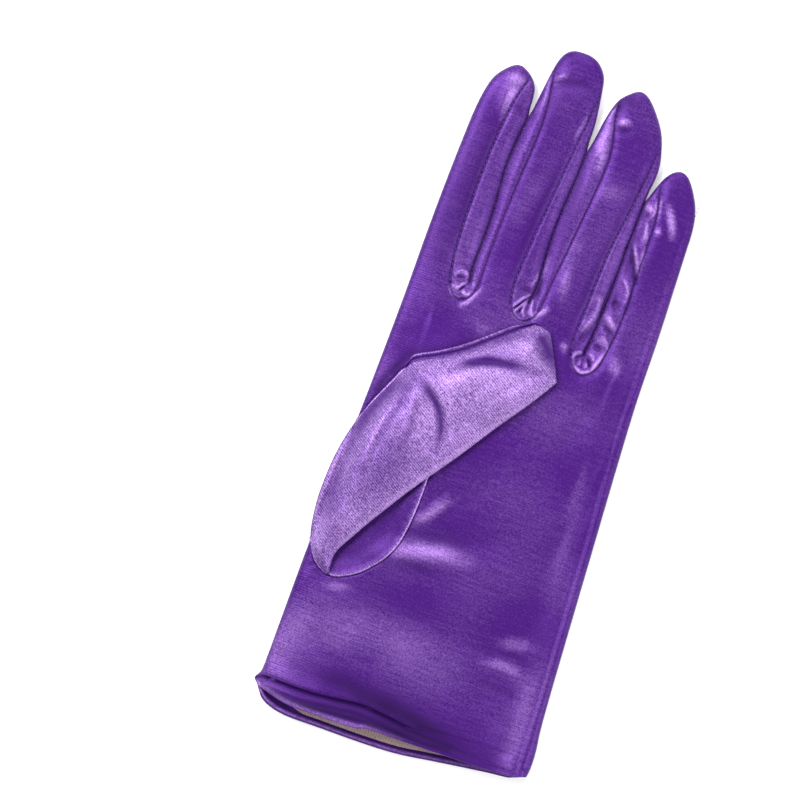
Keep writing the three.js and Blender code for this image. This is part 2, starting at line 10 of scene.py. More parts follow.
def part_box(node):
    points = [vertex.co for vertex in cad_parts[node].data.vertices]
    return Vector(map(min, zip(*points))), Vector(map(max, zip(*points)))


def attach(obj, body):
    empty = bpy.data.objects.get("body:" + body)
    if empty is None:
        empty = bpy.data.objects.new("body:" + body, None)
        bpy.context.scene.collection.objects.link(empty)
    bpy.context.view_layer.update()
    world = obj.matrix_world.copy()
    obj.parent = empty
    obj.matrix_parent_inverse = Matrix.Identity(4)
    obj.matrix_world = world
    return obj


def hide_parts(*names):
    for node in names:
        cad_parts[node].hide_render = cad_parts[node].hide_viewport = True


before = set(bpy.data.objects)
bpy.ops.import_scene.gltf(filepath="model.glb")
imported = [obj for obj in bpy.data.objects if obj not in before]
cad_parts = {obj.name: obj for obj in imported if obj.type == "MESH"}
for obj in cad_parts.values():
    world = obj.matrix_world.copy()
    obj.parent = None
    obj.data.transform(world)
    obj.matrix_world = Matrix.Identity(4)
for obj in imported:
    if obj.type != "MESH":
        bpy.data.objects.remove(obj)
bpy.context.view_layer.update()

# The glove is drawn in millimetres in its own plan: x from the index side to the little finger's
# side, y from the palm side's hem to the fingertips, z up from the table.
plan = {"littleSide": 47.5, "tip": 230.05}  # where the trank's box ends in that plan
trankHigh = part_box("trank")[1]
shift = np.array([trankHigh[0] * 1000 - plan["littleSide"], trankHigh[1] * 1000 - plan["tip"], 0])


def toRow(points):
    return (np.asarray(points, float) + shift) / 1000


def mix(a, b, t):
    return a + (b - a) * t


def smoothStep(start, end, t):
    s = np.clip((t - start) / (end - start), 0, 1)
    return s * s * (3 - 2 * s)


def bell(distance, width):
    return np.exp(-((distance / width) ** 2))


def ridge(distance, look):  # a soft line: its strength, how far off its middle lies and its half width
    strength, middle, width = look
    return strength * bell(distance - middle, width)


def lengths(line):  # how far along a line each of its points lies
    return np.concatenate([[0], np.cumsum(np.linalg.norm(np.diff(line, axis=0), axis=1))])


def closeUp(line):
    return np.vstack([line, line[:1]])


def leftOf(line):  # unit vectors across a line, to its left, at each of its points
    way = np.gradient(line, axis=0)
    side = np.stack([-way[:, 1], way[:, 0]], axis=1)
    return side / np.maximum(np.linalg.norm(side, axis=1), 1e-9)[:, None]


def endFade(line, count):  # 0 at both ends of a line, 1 from so many points on
    order = np.arange(len(line))
    return np.clip(np.minimum(order, order[::-1]) / count, 0, 1)


def evenly(points, step, closed=False):
    line = np.array(points, float)
    if closed:
        line = closeUp(line)
    run = lengths(line)
    count = max(2, int(math.ceil(run[-1] / step)) + 1)
    at = np.linspace(0, run[-1], count)
    spaced = np.stack([np.interp(at, run, line[:, k]) for k in range(line.shape[1])], axis=1)
    return spaced[:-1] if closed else spaced


def smoothLine(points, closed=False, pointsEach=14):  # a centripetal spline through plan points
    line = np.array(points, float)
    if closed:
        line = np.vstack([line[-1:], line, line[:2]])
    else:
        line = np.vstack([2 * line[0] - line[1], line, 2 * line[-1] - line[-2]])
    found = []
    for a, b, c, d in zip(line, line[1:], line[2:], line[3:]):
        gaps = [math.sqrt(max(np.linalg.norm(q - p), 1e-6)) for p, q in ((a, b), (b, c), (c, d))]
        k = np.cumsum([0] + gaps)
        t = np.linspace(k[1], k[2], pointsEach, endpoint=False)[:, None]
        ab = a * (k[1] - t) / (k[1] - k[0]) + b * (t - k[0]) / (k[1] - k[0])
        bc = b * (k[2] - t) / (k[2] - k[1]) + c * (t - k[1]) / (k[2] - k[1])
        cd = c * (k[3] - t) / (k[3] - k[2]) + d * (t - k[2]) / (k[3] - k[2])
        abc = ab * (k[2] - t) / (k[2] - k[0]) + bc * (t - k[0]) / (k[2] - k[0])
        bcd = bc * (k[3] - t) / (k[3] - k[1]) + cd * (t - k[1]) / (k[3] - k[1])
        found.append(abc * (k[2] - t) / (k[2] - k[1]) + bcd * (t - k[1]) / (k[2] - k[1]))
    line = np.vstack(found)
    return line if closed else np.vstack([line, np.array(points[-1], float)])


def isInside(loop, points):
    inside = np.zeros(len(points), bool)
    x, y = points[:, 0], points[:, 1]
    for (ax, ay), (bx, by) in zip(loop, np.roll(loop, -1, axis=0)):
        if ay == by:
            continue
        crosses = (ay > y) != (by > y)
        inside ^= crosses & (x < ax + (bx - ax) * (y - ay) / (by - ay))
    return inside


class Track:  # a line in plan, and how far points lie from it and along it
    def __init__(self, points, closed=False):
        self.line = evenly(points, 0.3, closed)
        if closed:
            self.line = closeUp(self.line)
        self.run = lengths(self.line)
        self.tree = KDTree(len(self.line))
        for i, (x, y) in enumerate(self.line):
            self.tree.insert((x, y, 0), i)
        self.tree.balance()

    def near(self, everyPoint, reach=8.0):  # beyond reach the distance stays at reach
        low, high = self.line.min(0) - reach, self.line.max(0) + reach
        close = np.where(((everyPoint > low) & (everyPoint < high)).all(axis=1))[0]
        points = everyPoint[close]
        nearest = np.array([self.tree.find((x, y, 0))[1] for x, y in points], int)
        distance = np.full(len(points), np.inf)
        along = np.zeros(len(points))
        last = len(self.line) - 1
        for a, b in ((nearest - 1, nearest), (nearest, nearest + 1)):
            a, b = np.clip(a, 0, last), np.clip(b, 0, last)
            start, way = self.line[a], self.line[b] - self.line[a]
            length = np.maximum((way * way).sum(1), 1e-12)
            t = np.clip(((points - start) * way).sum(1) / length, 0, 1)
            off = np.linalg.norm(points - start - way * t[:, None], axis=1)
            closer = off < distance
            distance = np.where(closer, off, distance)
            along = np.where(closer, self.run[a] + np.sqrt(length) * t, along)
        everyDistance = np.full(len(everyPoint), float(reach))
        everyAlong = np.zeros(len(everyPoint))
        everyDistance[close] = np.minimum(distance, reach)
        everyAlong[close] = along
        return everyDistance, everyAlong


def ripples(points, size, seed, count=14):  # soft seeded noise, about -1 to 1
    draw = np.random.default_rng(seed)
    total = np.zeros(len(points))
    for _ in range(count):
        turn = draw.uniform(0, math.tau)
        wave = math.tau / (size * draw.uniform(0.7, 1.5))
        phase = draw.uniform(0, math.tau)
        total += np.sin((points[:, 0] * math.cos(turn) + points[:, 1] * math.sin(turn)) * wave + phase)
    return total / math.sqrt(count)


def cockle(rows, points):  # unevenness: each row has its height, its size and its seed
    return sum(height * ripples(points, size, seed) for height, size, seed in rows)


def strokes(table, points):  # each row: a short line, its half width and its strength
    total = np.zeros(len(points))
    fromLine = 2.6  # half widths from the line, past which nothing of it shows
    endStrength = 0.35
    for line, width, strength in table:
        path = smoothLine(line)[::4]
        low, high = path.min(0) - width * fromLine, path.max(0) + width * fromLine
        close = np.where(((points > low) & (points < high)).all(axis=1))[0]
        if not len(close):
            continue
        here = points[close]
        run = lengths(path)
        distance = np.full(len(here), np.inf)
        share = np.zeros(len(here))
        for i, (a, b) in enumerate(zip(path, path[1:])):
            way = b - a
            t = np.clip(((here - a) @ way) / max(way @ way, 1e-9), 0, 1)
            off = np.linalg.norm(here - a - t[:, None] * way, axis=1)
            nearer = off < distance
            distance = np.where(nearer, off, distance)
            share = np.where(nearer, (run[i] + t * (run[i + 1] - run[i])) / run[-1], share)
        middle = smoothStep(0, 0.3, share) * smoothStep(1, 0.7, share)
        taper = endStrength + (1 - endStrength) * middle
        total[close] += strength * bell(distance, width) * taper
    return total


# The lines of the pattern, in plan, from the index side round to the little finger's side.
indexSide = [(-46.9, 0), (-47.8, 1.2), (-46.5, 3.8), (-46.2, 8.8), (-46.1, 16), (-46, 29), (-45.7, 50),
             (-44.8, 79), (-43.9, 110), (-43.4, 135), (-43.3, 158), (-43, 175), (-42.5, 190)]
littleSide = [(39, 180), (39.4, 168), (39.8, 156), (40, 147), (40.2, 128), (41, 110), (42.7, 79),
              (44.3, 50), (45.5, 29), (46.4, 16), (47.3, 8.8), (47.5, 3.8), (47.3, 1.2), (47.1, 0)]
fingerTips = {
    "index": [(-42, 200), (-41, 208), (-39.5, 213), (-37, 216.5), (-34, 219), (-32, 219.3), (-29.5, 218.2),
              (-27.5, 216.6), (-25.8, 214.2), (-25.1, 211), (-24.9, 207)],
    "middle": [(-23.9, 207), (-23.2, 213), (-22.3, 220), (-21.3, 225), (-19.8, 228), (-17.5, 229.6),
               (-14.5, 230), (-11.5, 229.8), (-9, 228.8), (-7, 227), (-5.4, 224.5), (-4.4, 220),
               (-3.5, 214), (-2.9, 208), (-2.9, 203)],
    "ring": [(-2.1, 202), (-1.4, 206), (-0.7, 211), (0.4, 216), (1.8, 219.5), (4, 222), (6.3, 223.8),
             (8, 224.3), (10, 223.7), (12.3, 221.8), (14.5, 219.3), (16.7, 216.4), (18.7, 213),
             (20.3, 208.6), (21.5, 203.6), (21.6, 199), (21.1, 195)],
    "little": [(21.6, 192.8), (22.8, 196.5), (24.3, 200), (26.3, 202.7), (28.8, 203.9), (31, 203.3),
               (33, 201.3), (35.2, 198), (37, 194.5), (38.2, 190.5), (38.8, 186)],
}
webLines = {  # from the end of each slit to where its two fingers stand apart
    "index_middle": [(-24.6, 147), (-25.2, 152), (-25, 160), (-25, 170), (-25.5, 178), (-26, 185),
                     (-25.5, 195), (-24.5, 204.5)],
    "middle_ring": [(-4, 147), (-3.3, 152), (-3.6, 159), (-4.1, 167), (-4, 175), (-3.6, 182),
                    (-3, 190), (-2.6, 200)],
    "ring_little": [(18.6, 137), (19, 141), (19.5, 148), (20, 158), (20.2, 168), (20.4, 178), (20.8, 191)],
}
fourchetteSeams = {  # a long U round each crotch, from one fingertip to the next
    "index_middle": [(-27, 219.8), (-28, 217), (-30, 210), (-31.5, 202), (-32.5, 190), (-32.9, 175),
                     (-32.8, 160), (-32, 151), (-30.6, 144.5), (-28.7, 141.3), (-26.3, 140.3),
                     (-23.8, 141.2), (-22, 144.3), (-21.6, 150), (-21.6, 160), (-21, 175), (-20.3, 187),
                     (-19.5, 200), (-19.8, 210), (-20.8, 217), (-21.8, 222.5), (-22.8, 226)],
    "middle_ring": [(-3.6, 223), (-4.4, 220), (-5.5, 208), (-6.5, 200), (-7.5, 190), (-8.7, 178),
                    (-9.7, 168), (-10.4, 158), (-10.6, 150), (-9.6, 144.5), (-7.6, 141.5), (-5, 140.4),
                    (-2.5, 141.2), (-0.5, 144), (0.2, 148), (0.8, 155), (2, 165), (3, 175), (3.8, 183),
                    (4.7, 192), (5, 198), (4.6, 204), (3.5, 209), (2.6, 213), (2, 218.5), (0.9, 221.5)],
    "ring_little": [(20.3, 211), (19.8, 208.5), (19.2, 203), (18.6, 197), (17.6, 189), (16.3, 180),
                    (15.2, 172), (14.5, 162), (14.1, 152), (13.6, 143), (13.8, 138), (15, 134),
                    (17.2, 131), (19.5, 130), (22, 131.2), (24, 134), (25.2, 139), (26.2, 147),
                    (26.5, 158), (26.3, 170), (26.3, 180), (25.8, 188), (24.8, 193), (23.9, 197.5),
                    (22.4, 201)],
}
stripTops = {"index_middle": (-25, 232), "middle_ring": (-1, 228), "ring_little": (22.5, 214)}
palmHem = [(-46.9, 0), (-45, -0.9), (-40, -2.3), (-35, -3.2), (-25, -3.2), (-11, -2.8), (-8.5, -2), (0, -1.8),
           (15, -1.5), (30, -1.3), (41, -1.1), (47.1, 0)]
backHem = [(-46.9, 0), (-43, -4.6), (-40, -6.2), (-35, -7.3), (-22, -7.5), (-5, -7.5), (5, -7), (15, -5.6),
           (25, -4.2), (35, -2.9), (43, -1.9), (47.1, 0)]
hemCrease = [(-47.4, 1.6), (-45.5, 2.5), (-40, 2.7), (-30, 2.9), (-20, 3.9), (-12, 4.7), (-5, 4.2), (5, 3),
             (15, 2.3), (30, 1.9), (46.8, 1.4)]
outSeam = [(38, 196), (37.8, 186), (37.6, 170), (37.7, 150), (38, 130), (38.5, 110), (40.5, 80), (42, 50),
           (43.2, 25), (43.8, 5), (43.9, -1)]
thumbHole = [(-35.2, 41.1), (-41, 43.3), (-45.6, 50), (-47.6, 60), (-47.7, 72), (-46.1, 85.5), (-42.4, 97.4),
             (-38, 107.1), (-35.1, 112.9), (-31.4, 115), (-27.5, 114.4), (-23.5, 109), (-19, 99),
             (-16.3, 88), (-15.9, 78), (-16.3, 68), (-17.5, 59.3), (-19, 55.2), (-21.2, 51.3),
             (-23.8, 48.2), (-26.5, 45.4), (-30.4, 42.8)]
sleeveSeam = [(-35.1, 113.2), (-33, 116.1), (-25, 120.6), (-18, 125.3), (-10, 132), (-3, 138), (0, 140.6)]
sleeveTip = [(0, 140.6), (3.2, 140.5), (5.6, 139.6), (7.1, 137.2), (9.1, 133.2), (11, 129.6), (13.1, 125)]
sleeveFold = [(13.1, 125), (10.5, 120.6), (5.5, 113.1), (0.5, 106.1), (-4.5, 98.6), (-9.5, 91.1),
              (-14.5, 84.1), (-19.5, 77.1), (-24.4, 69.5), (-29.4, 61.5), (-33.4, 54.5), (-36, 49.6),
              (-36.6, 46.6), (-36.3, 43.2)]

slit = 0.02  # between two fingers that lie side by side
pace = {"outline": 0.7, "seam": 0.5, "hem": 0.75, "sleeve": 0.6}  # from one point of a line to the next


def slitLine(web):  # down one side of a slit and up the other
    middle = evenly(smoothLine(webLines[web]), pace["hem"])
    low = middle[0] - (0, 0.3)
    return np.vstack([(middle - (slit / 2, 0))[::-1], [low], middle + (slit / 2, 0)])


webs = list(webLines)
chain = np.vstack([
    evenly(smoothLine(indexSide + fingerTips["index"]), pace["outline"]),
    slitLine(webs[0]),
    evenly(smoothLine(fingerTips["middle"]), pace["outline"]),
    slitLine(webs[1]),
    evenly(smoothLine(fingerTips["ring"]), pace["outline"]),
    slitLine(webs[2]),
    evenly(smoothLine(fingerTips["little"] + littleSide), pace["outline"]),
])
hem = {
    "roll": 0.5,  # radius of the palm side's turned edge
    "backRoll": 0.95,
    "turn": 6.5,  # how far the hem reaches in
    "gap": 0.1,  # between the palm and its hem
    "inner": 1.0,  # height of the back's turned hem above the back
}


def insetHem(line, inset):  # draws a hem in by the radius that its turned edge adds again
    flat = evenly(smoothLine(line), pace["hem"])
    flat[:, 1] += inset * endFade(flat, 6)
    return flat


palmHemLine = insetHem(palmHem, hem["roll"])
backHemLine = insetHem(backHem, hem["backRoll"])
gloveLoop = np.vstack([chain, backHemLine[::-1][1:-1]])
palmLoop = np.vstack([chain, palmHemLine[::-1][1:-1]])
seamLines = {web: evenly(smoothLine(fourchetteSeams[web]), pace["seam"]) for web in webs}
stripLoops = {web: np.vstack([seamLines[web], [stripTops[web]]]) for web in webs}
holeLoop = evenly(smoothLine(thumbHole, closed=True), pace["hem"], closed=True)
creaseLine = evenly(smoothLine(hemCrease), pace["hem"])
outSeamLine = evenly(smoothLine(outSeam), pace["hem"])

edgeTrack = Track(chain)
seamTracks = {web: Track(seamLines[web]) for web in webs}
slitTracks = {web: Track(slitLine(web)) for web in webs}
holeTrack = Track(holeLoop, closed=True)
creaseTrack = Track(creaseLine)
outSeamTrack = Track(outSeamLine)
print("pattern lines drawn")

cloth = {  # in millimetres
    "thickness": 0.45,
    "edgeMiddle": 1.55,  # height of a folded or seamed edge's middle line
    "edgeRound": 1.35,
    "slitRound": 0.7,
    "palmHeight": 6.6,
    "cuffHeight": 9.4,
    "fingerHeight": 4.3,
    "palmRun": 26.0,  # from an edge to where the cloth lies at its full height
    "fingerRun": 7.0,
    "slitRun": 4.5,
    "crown": 1.7,  # the higher, the steeper the cloth rises from its edge
    "slackRun": 3.0,  # from an edge to where the folds have their full height
    "seamRun": 1.5,
    "fingerArch": 0.4,  # how far a finger's middle stands above its seams
    "palmArch": 0.6,  # share of it that is left on the palm
    "stripArch": 0.45,  # share of it on a fourchette
    "archRun": 5.0,
    "fingers": (113, 150),  # from the palm to the fingers, up the plan
    "cuff": (24, 0),  # from the palm to the cuff, down the plan
    "unevenness": [(0.18, 24, 3), (0.07, 9, 4)],  # height, size and seed
}
# Soft lines beside the seams: strength, how far off the seam its middle lies, and half width.
grooves = {
    "seam": (0.22, 0, 0.4),
    "fingerFall": (0.4, 0, 1.5),
    "stripFall": (0.35, 0, 0.7),
    "backSeam": (0.35, 0, 0.5),
    "hole": (0.25, 0, 0.3),
    "holeWelt": (0.2, 1.0, 0.6),
    "outSeam": (0.4, 0, 0.5),
    "outSeamWelt": (0.2, 1.1, 0.6),
    "hemCrease": (1.2, 0, 0.62),
}
gatherings = {"web": (0.045, 3.1), "hole": (0.1, 4.3), "outSeam": (0.1, 5)}  # height and length of each
hemBand = {"wide": 5.4, "bulge": 0.8, "fall": 1.2}  # between the crease and the palm's edge
# Folds of the palm side: middle x and y, turn in degrees, half length, half width, rise.
palmFolds = [
    (-5, 57, 11, 17, 3.2, 1.0),
    (-7, 64.4, 14, 17, 3.6, -1.0),
    (-10.5, 73.5, 55, 9, 2.2, 0.9),
    (-5, 75, 52, 12, 2.4, -0.5),
    (-16, 28, -2, 38, 9, 0.8),
    (27, 23.6, 3, 14, 1.9, -0.25),
    (29, 31, 2, 10, 1.5, 0.45),
    (28, 40, 4, 9, 1.7, 0.4),
    (28, 35.4, 2, 12, 1.8, -0.4),
    (31, 19.5, 4, 9, 1.8, 0.15),
    (-1, 9, 0, 40, 4.5, -1.1),
    (34, 84, 78, 26, 2.4, 0.2),
    (36.5, 105, 84, 30, 1.3, -0.25),
    (-40, 101, 70, 16, 2.4, -0.5),
    (29.3, 136.2, 100, 3.2, 1.7, 0.5),
    (11.4, 136.6, 80, 1.8, 1.1, 0.45),
    (5, 156.5, 84, 6, 1.2, 0.3),
    (8.4, 189, 80, 6, 2.2, 0.3),
    (-30, 212, 60, 7, 2.6, 0.35),
    (-13, 218.8, 16, 9, 1.9, -0.6),
    (-18.6, 220.2, 42, 4, 1.0, 0.3),
    (5.8, 212.6, 25, 2.0, 1.1, 0.5),
    (7, 209.8, 25, 2.6, 1.1, -0.45),
    (31.5, 187, 118, 6, 1.4, 0.5),
    (34, 180, 100, 12, 3.0, -0.3),
]
# Sharper creases, each along a short line: its points, its half width, its rise.
creases = [
    ([(-29.9, 147.4), (-28.7, 149.3), (-27.1, 149.9), (-25.8, 149.0), (-25.7, 147.9)], 0.75, 0.94),
    ([(-29.3, 146.6), (-28.2, 147.3), (-27, 147.3)], 0.5, -0.69),
    ([(-27.9, 143.1), (-26.6, 145.0), (-25.5, 146.4)], 0.4, 0.62),
    ([(-27.1, 142.6), (-26.3, 144.1), (-25.3, 145.3)], 0.32, -0.75),
    ([(-25.7, 143.5), (-24.2, 142.1), (-22.9, 143.5)], 0.6, 0.56),
    ([(-24.8, 138.5), (-23.1, 140.4), (-21.6, 143.6), (-20.4, 145.4)], 0.7, 0.62),
    ([(-30.2, 143.6), (-29.4, 141.9), (-28, 140.9), (-26, 140.6)], 0.5, 0.5),
    ([(-25.4, 149.6), (-24.8, 148), (-24.5, 146.3)], 0.5, -0.75),
    ([(-9.2, 143.2), (-7.5, 145.5), (-6.0, 147.7), (-4.4, 149.3)], 0.45, 0.75),
    ([(-8.4, 142.9), (-7.0, 145.0), (-5.6, 147.1), (-4.0, 148.6)], 0.36, -0.75),
    ([(-7.7, 142.0), (-6.1, 145.2), (-4.9, 147.0)], 0.4, 0.62),
    ([(-6.6, 141.9), (-5.9, 143.6), (-5.5, 145.4)], 0.36, -0.62),
    ([(-4.3, 147.2), (-5.3, 145.0), (-5.1, 143.1), (-4.2, 142.0)], 0.42, 0.75),
    ([(-4.0, 147.9), (-4.1, 146), (-3.8, 144.0)], 0.4, -0.75),
    ([(-3.7, 148.6), (-2.9, 145.0), (-1.6, 142.7)], 0.42, 0.69),
    ([(-2.6, 147.6), (-1.8, 145.2), (-1, 143.8)], 0.4, -0.56),
    ([(-8.9, 143.2), (-6.8, 141.0), (-4.5, 140.4), (-2.4, 141.2)], 0.5, 0.44),
    ([(-1.4, 142.9), (0.2, 144.4), (2.2, 146.9)], 0.8, 0.56),
    ([(-8.2, 150.9), (-6.2, 150.6), (-4.4, 151.4)], 1.0, -0.62),
    ([(-4.0, 157.3), (-4.4, 154.6), (-5, 152.2)], 0.5, 0.56),
    ([(-3.6, 158), (-3.3, 154), (-3.2, 150.6)], 0.5, -0.62),
    ([(20.3, 142.6), (19.1, 140.4), (18.3, 138.4), (18.9, 136.8)], 0.34, -0.88),
    ([(16.3, 134.9), (17.6, 136), (19.0, 136.3)], 0.42, -0.94),
    ([(19.4, 136.3), (20.7, 135.2), (21.9, 133.1)], 0.36, -0.81),
    ([(19, 135.6), (18.8, 134), (19.4, 132.4)], 0.3, -0.5),
    ([(17.3, 134.6), (17.0, 133.3), (17.5, 132)], 0.3, -0.44),
    ([(15.0, 134.6), (16.3, 136.9), (18.3, 137.4)], 0.45, 0.62),
    ([(19.9, 137.6), (21.2, 136.8), (22.6, 135.2)], 0.5, 0.5),
    ([(14.9, 134.4), (16.2, 131.9), (19.4, 130.4), (22.1, 131.7), (24.1, 136.9), (25.3, 140.8)], 0.55, 0.5),
    ([(20.6, 144.4), (22.6, 144.0), (24.7, 142.3)], 0.9, 0.88),
    ([(20.2, 140.4), (21.6, 140.2), (23.2, 139.6)], 0.8, -0.75),
    ([(21.4, 147.4), (23.4, 146.6), (25.2, 145.1)], 0.8, -0.88),
    ([(20.9, 151.6), (22.6, 149.9), (24.5, 148.0)], 0.9, 0.94),
    ([(21.6, 157.0), (22.9, 155), (24.6, 152.6)], 1.3, -0.88),
    ([(21.5, 164.6), (23.6, 163.2), (25.3, 160.6), (25.9, 157), (25.7, 153.2)], 0.8, 0.75),
    ([(21.8, 174.6), (24.1, 169.4), (26.6, 164.0)], 0.8, -1.19),
    ([(20.9, 177.6), (23.5, 172.8), (26.3, 167.2)], 0.7, 1),
    ([(25.9, 176.4), (26, 173), (26.3, 168.4)], 0.6, 0.56),
    ([(23, 184.5), (24.4, 180.4), (24.6, 178)], 0.8, 0.5),
    ([(21.6, 190.4), (23.2, 188.2), (24.4, 185.8)], 1.2, 0.56),
    ([(22.2, 184.6), (23, 182.4), (22.6, 180)], 0.8, -0.62),
    ([(15.5, 156.5), (17.8, 155.4), (18.4, 151.5), (16.6, 147.2), (15.0, 144.6)], 1.4, 0.75),
    ([(19.3, 148.9), (17.8, 145.4), (16.3, 142.2), (14.8, 139.5)], 1.0, -1),
    ([(19.9, 160), (19.2, 154), (19.2, 148.3), (20.4, 144.6)], 0.5, -0.62),
    ([(-31.9, 199), (-31.9, 204), (-31.2, 209.5), (-29.2, 213)], 0.7, -0.56),
    ([(-33.3, 201), (-34.2, 207), (-33.9, 213)], 1.0, 0.62),
    ([(-29.8, 206.4), (-28.2, 205.2), (-26.4, 204.7)], 1.1, -0.5),
    ([(-20.8, 216.4), (-17.5, 218.3), (-12, 219.8)], 0.8, -0.4),
    ([(-20.8, 217.8), (-19.2, 219.4), (-17, 221)], 0.6, 0.35),
    ([(-22.4, 219.5), (-20.9, 211), (-21.4, 205)], 0.8, 0.25),
    ([(1.9, 211.4), (1.9, 204), (0.8, 197.4)], 1.2, 0.3),
    ([(-8.0, 204), (-7.4, 208), (-5.8, 212)], 0.6, 0.44),
    ([(-16.5, 88), (-13, 82), (-11, 77)], 1.2, 0.44),
]
# Painted highlights where the satin's floats catch the light: a short line, its half width, its strength.
shine = [
    ([(-24, 55.8), (-17, 56.8), (-10, 58.8), (-3, 60.3), (5, 60.2)], 2.7, 0.64),
    ([(-15.8, 66.8), (-11.8, 70.9), (-7.9, 76.8)], 1.5, 0.62),
    ([(-44.5, 4), (-43.5, 14), (-40, 24), (-36, 33)], 5.5, 0.26),
    ([(-38, 22), (-16, 29), (8, 25)], 7.5, 0.22),
    ([(21, 31), (28, 32.3), (34.5, 30.4)], 1.8, 0.36),
    ([(24, 38.8), (30, 40.4), (34.5, 41)], 2.4, 0.3),
    ([(-36, 38.2), (-32.6, 38.5), (-29, 39.4)], 1.4, 0.35),
    ([(39, -1), (39.3, 9), (38.6, 21), (37, 33)], 3.0, 0.2),
    ([(30.5, 84), (31.5, 95), (31, 104)], 1.6, 0.12),
    ([(34.6, 55), (33.6, 75), (33, 96)], 2.4, 0.09),
    ([(29.0, 138.6), (29.4, 136.2), (29.7, 133.6)], 1.7, 0.43),
    ([(11.4, 138), (11.5, 135.6)], 1.1, 0.7),
    ([(4.2, 161.4), (4.9, 157), (5.4, 152)], 1.5, 0.36),
    ([(6.4, 187.6), (9, 189.5), (12, 190.6)], 2.4, 0.2),
    ([(-33.4, 214.6), (-32.6, 210), (-32.6, 204.6), (-32.2, 200.4)], 1.3, 0.66),
    ([(-34.4, 214.6), (-31.4, 214.4), (-29.4, 213.4)], 1.7, 0.66),
    ([(-31.2, 211.4), (-32.4, 207)], 1.4, 0.29),
    ([(-22.6, 219.4), (-21.4, 212.5), (-22.4, 206)], 0.8, 0.36),
    ([(-20.9, 217.8), (-19.2, 219.4), (-17, 221)], 0.7, 0.6),
    ([(2.1, 212.4), (1.9, 208), (2.3, 202), (2.4, 196.6)], 1.4, 0.38),
    ([(0.6, 209), (0.2, 204), (1.0, 199.4)], 1.0, 0.3),
    ([(1.8, 203), (2.6, 198.6), (2.4, 194.6)], 0.9, 0.5),
    ([(1.5, 217.2), (0.3, 213.4), (-0.2, 210.4)], 0.8, 0.81),
    ([(4.2, 211.8), (5.8, 212.7), (7.4, 212.9)], 0.85, 1.08),
    ([(20.9, 189.6), (22.6, 189), (24.4, 188.6)], 1.0, 0.8),
    ([(24.3, 191.6), (24.7, 188.6), (24.2, 186)], 0.5, 0.8),
    ([(25.1, 193.6), (25.9, 190.4), (26.4, 186)], 0.5, 0.54),
    ([(28.4, 191.6), (30.6, 187.8), (32.1, 184.6), (32.9, 181.8)], 1.1, 0.95),
    ([(27.8, 183.4), (28.1, 181.6)], 0.8, 0.94),
    ([(22.9, 184.6), (24.4, 180.4), (24.8, 177.6)], 0.7, 0.81),
    ([(20.9, 177.6), (23.5, 172.6), (26.3, 167.0)], 0.7, 1.22),
    ([(25.9, 176.2), (26.2, 172), (26.5, 167.4)], 0.6, 0.74),
    ([(21.6, 164.6), (23.7, 163.1), (25.2, 160.8), (25.8, 157.6)], 0.7, 0.6),
    ([(20.9, 151.4), (22.6, 149.9), (24.7, 147.8)], 0.9, 1.01),
    ([(21.2, 143.6), (22.8, 143.1), (24.7, 141.7)], 0.8, 0.8),
    ([(15.4, 154.6), (17.5, 155.6), (18.3, 151.6), (16.9, 148), (15.3, 145)], 1.2, 0.43),
    ([(15.8, 143.4), (16.9, 146.2), (17.9, 149.6)], 0.9, 0.5),
    ([(15.3, 134.5), (16.4, 132.2), (19.4, 130.8), (22.1, 132), (24.1, 136.9), (25.4, 141.4)], 0.65, 1.08),
    ([(15.3, 134.8), (16.4, 136.7), (18.3, 137.2)], 0.5, 1.08),
    ([(19.9, 137.7), (21.4, 136.8), (22.6, 135.2)], 0.6, 0.68),
    ([(18.2, 134.6), (18.1, 132.8)], 0.4, 0.68),
    ([(20.2, 134.3), (20.4, 132.4)], 0.4, 0.68),
    ([(-29.8, 147.2), (-28.7, 148.8), (-27.1, 149.3), (-25.8, 148.6), (-25.6, 147.6)], 0.5, 1.0),
    ([(-27.9, 143.1), (-26.6, 145.1), (-25.5, 146.4)], 0.35, 1.35),
    ([(-25.8, 143.3), (-24.2, 142.2), (-22.9, 143.6)], 0.55, 1.01),
    ([(-25.0, 138.4), (-23.1, 140.4), (-21.6, 143.4), (-20.4, 145.2)], 0.7, 1.15),
    ([(-30.3, 143.8), (-29.4, 141.8), (-28, 140.8), (-26, 140.6)], 0.4, 1.08),
    ([(-28.6, 145), (-28.5, 142.6)], 0.9, 0.47),
    ([(-9.0, 143.6), (-7.5, 145.6), (-6.0, 147.8), (-4.4, 149.4)], 0.4, 1.35),
    ([(-7.9, 142.2), (-6.1, 145.4), (-4.9, 147.2)], 0.36, 1.08),
    ([(-4.3, 147.1), (-5.3, 145.0), (-5.1, 143.1), (-4.2, 142.0)], 0.42, 1.35),
    ([(-3.7, 148.5), (-2.8, 144.7), (-1.4, 142.7)], 0.6, 1.22),
    ([(-8.8, 143.0), (-6.8, 141.0), (-4.5, 140.4), (-2.4, 141.1)], 0.45, 1.22),
    ([(-1.5, 142.7), (0.4, 144.4), (2.2, 146.8)], 0.8, 1.15),
    ([(-4.0, 157.2), (-4.4, 154.4), (-5, 152.2)], 0.4, 0.81),
    ([(-2.9, 163.5), (-2.6, 158.5), (-2.2, 153)], 0.45, 0.54),
    ([(-23.9, 150.6), (-23.4, 147), (-22.9, 145)], 0.4, 0.3),
    ([(-6.3, 211.4), (-6.9, 206.4), (-8, 202)], 0.5, 0.47),
    ([(4.2, 174), (4, 166), (3.2, 158)], 2.4, 0.16),
    ([(-14, 186), (-16.5, 176), (-17, 166)], 3.0, 0.12),
    ([(-20, 137), (-12, 131.5), (-2, 137.4)], 2.4, 0.14),
]
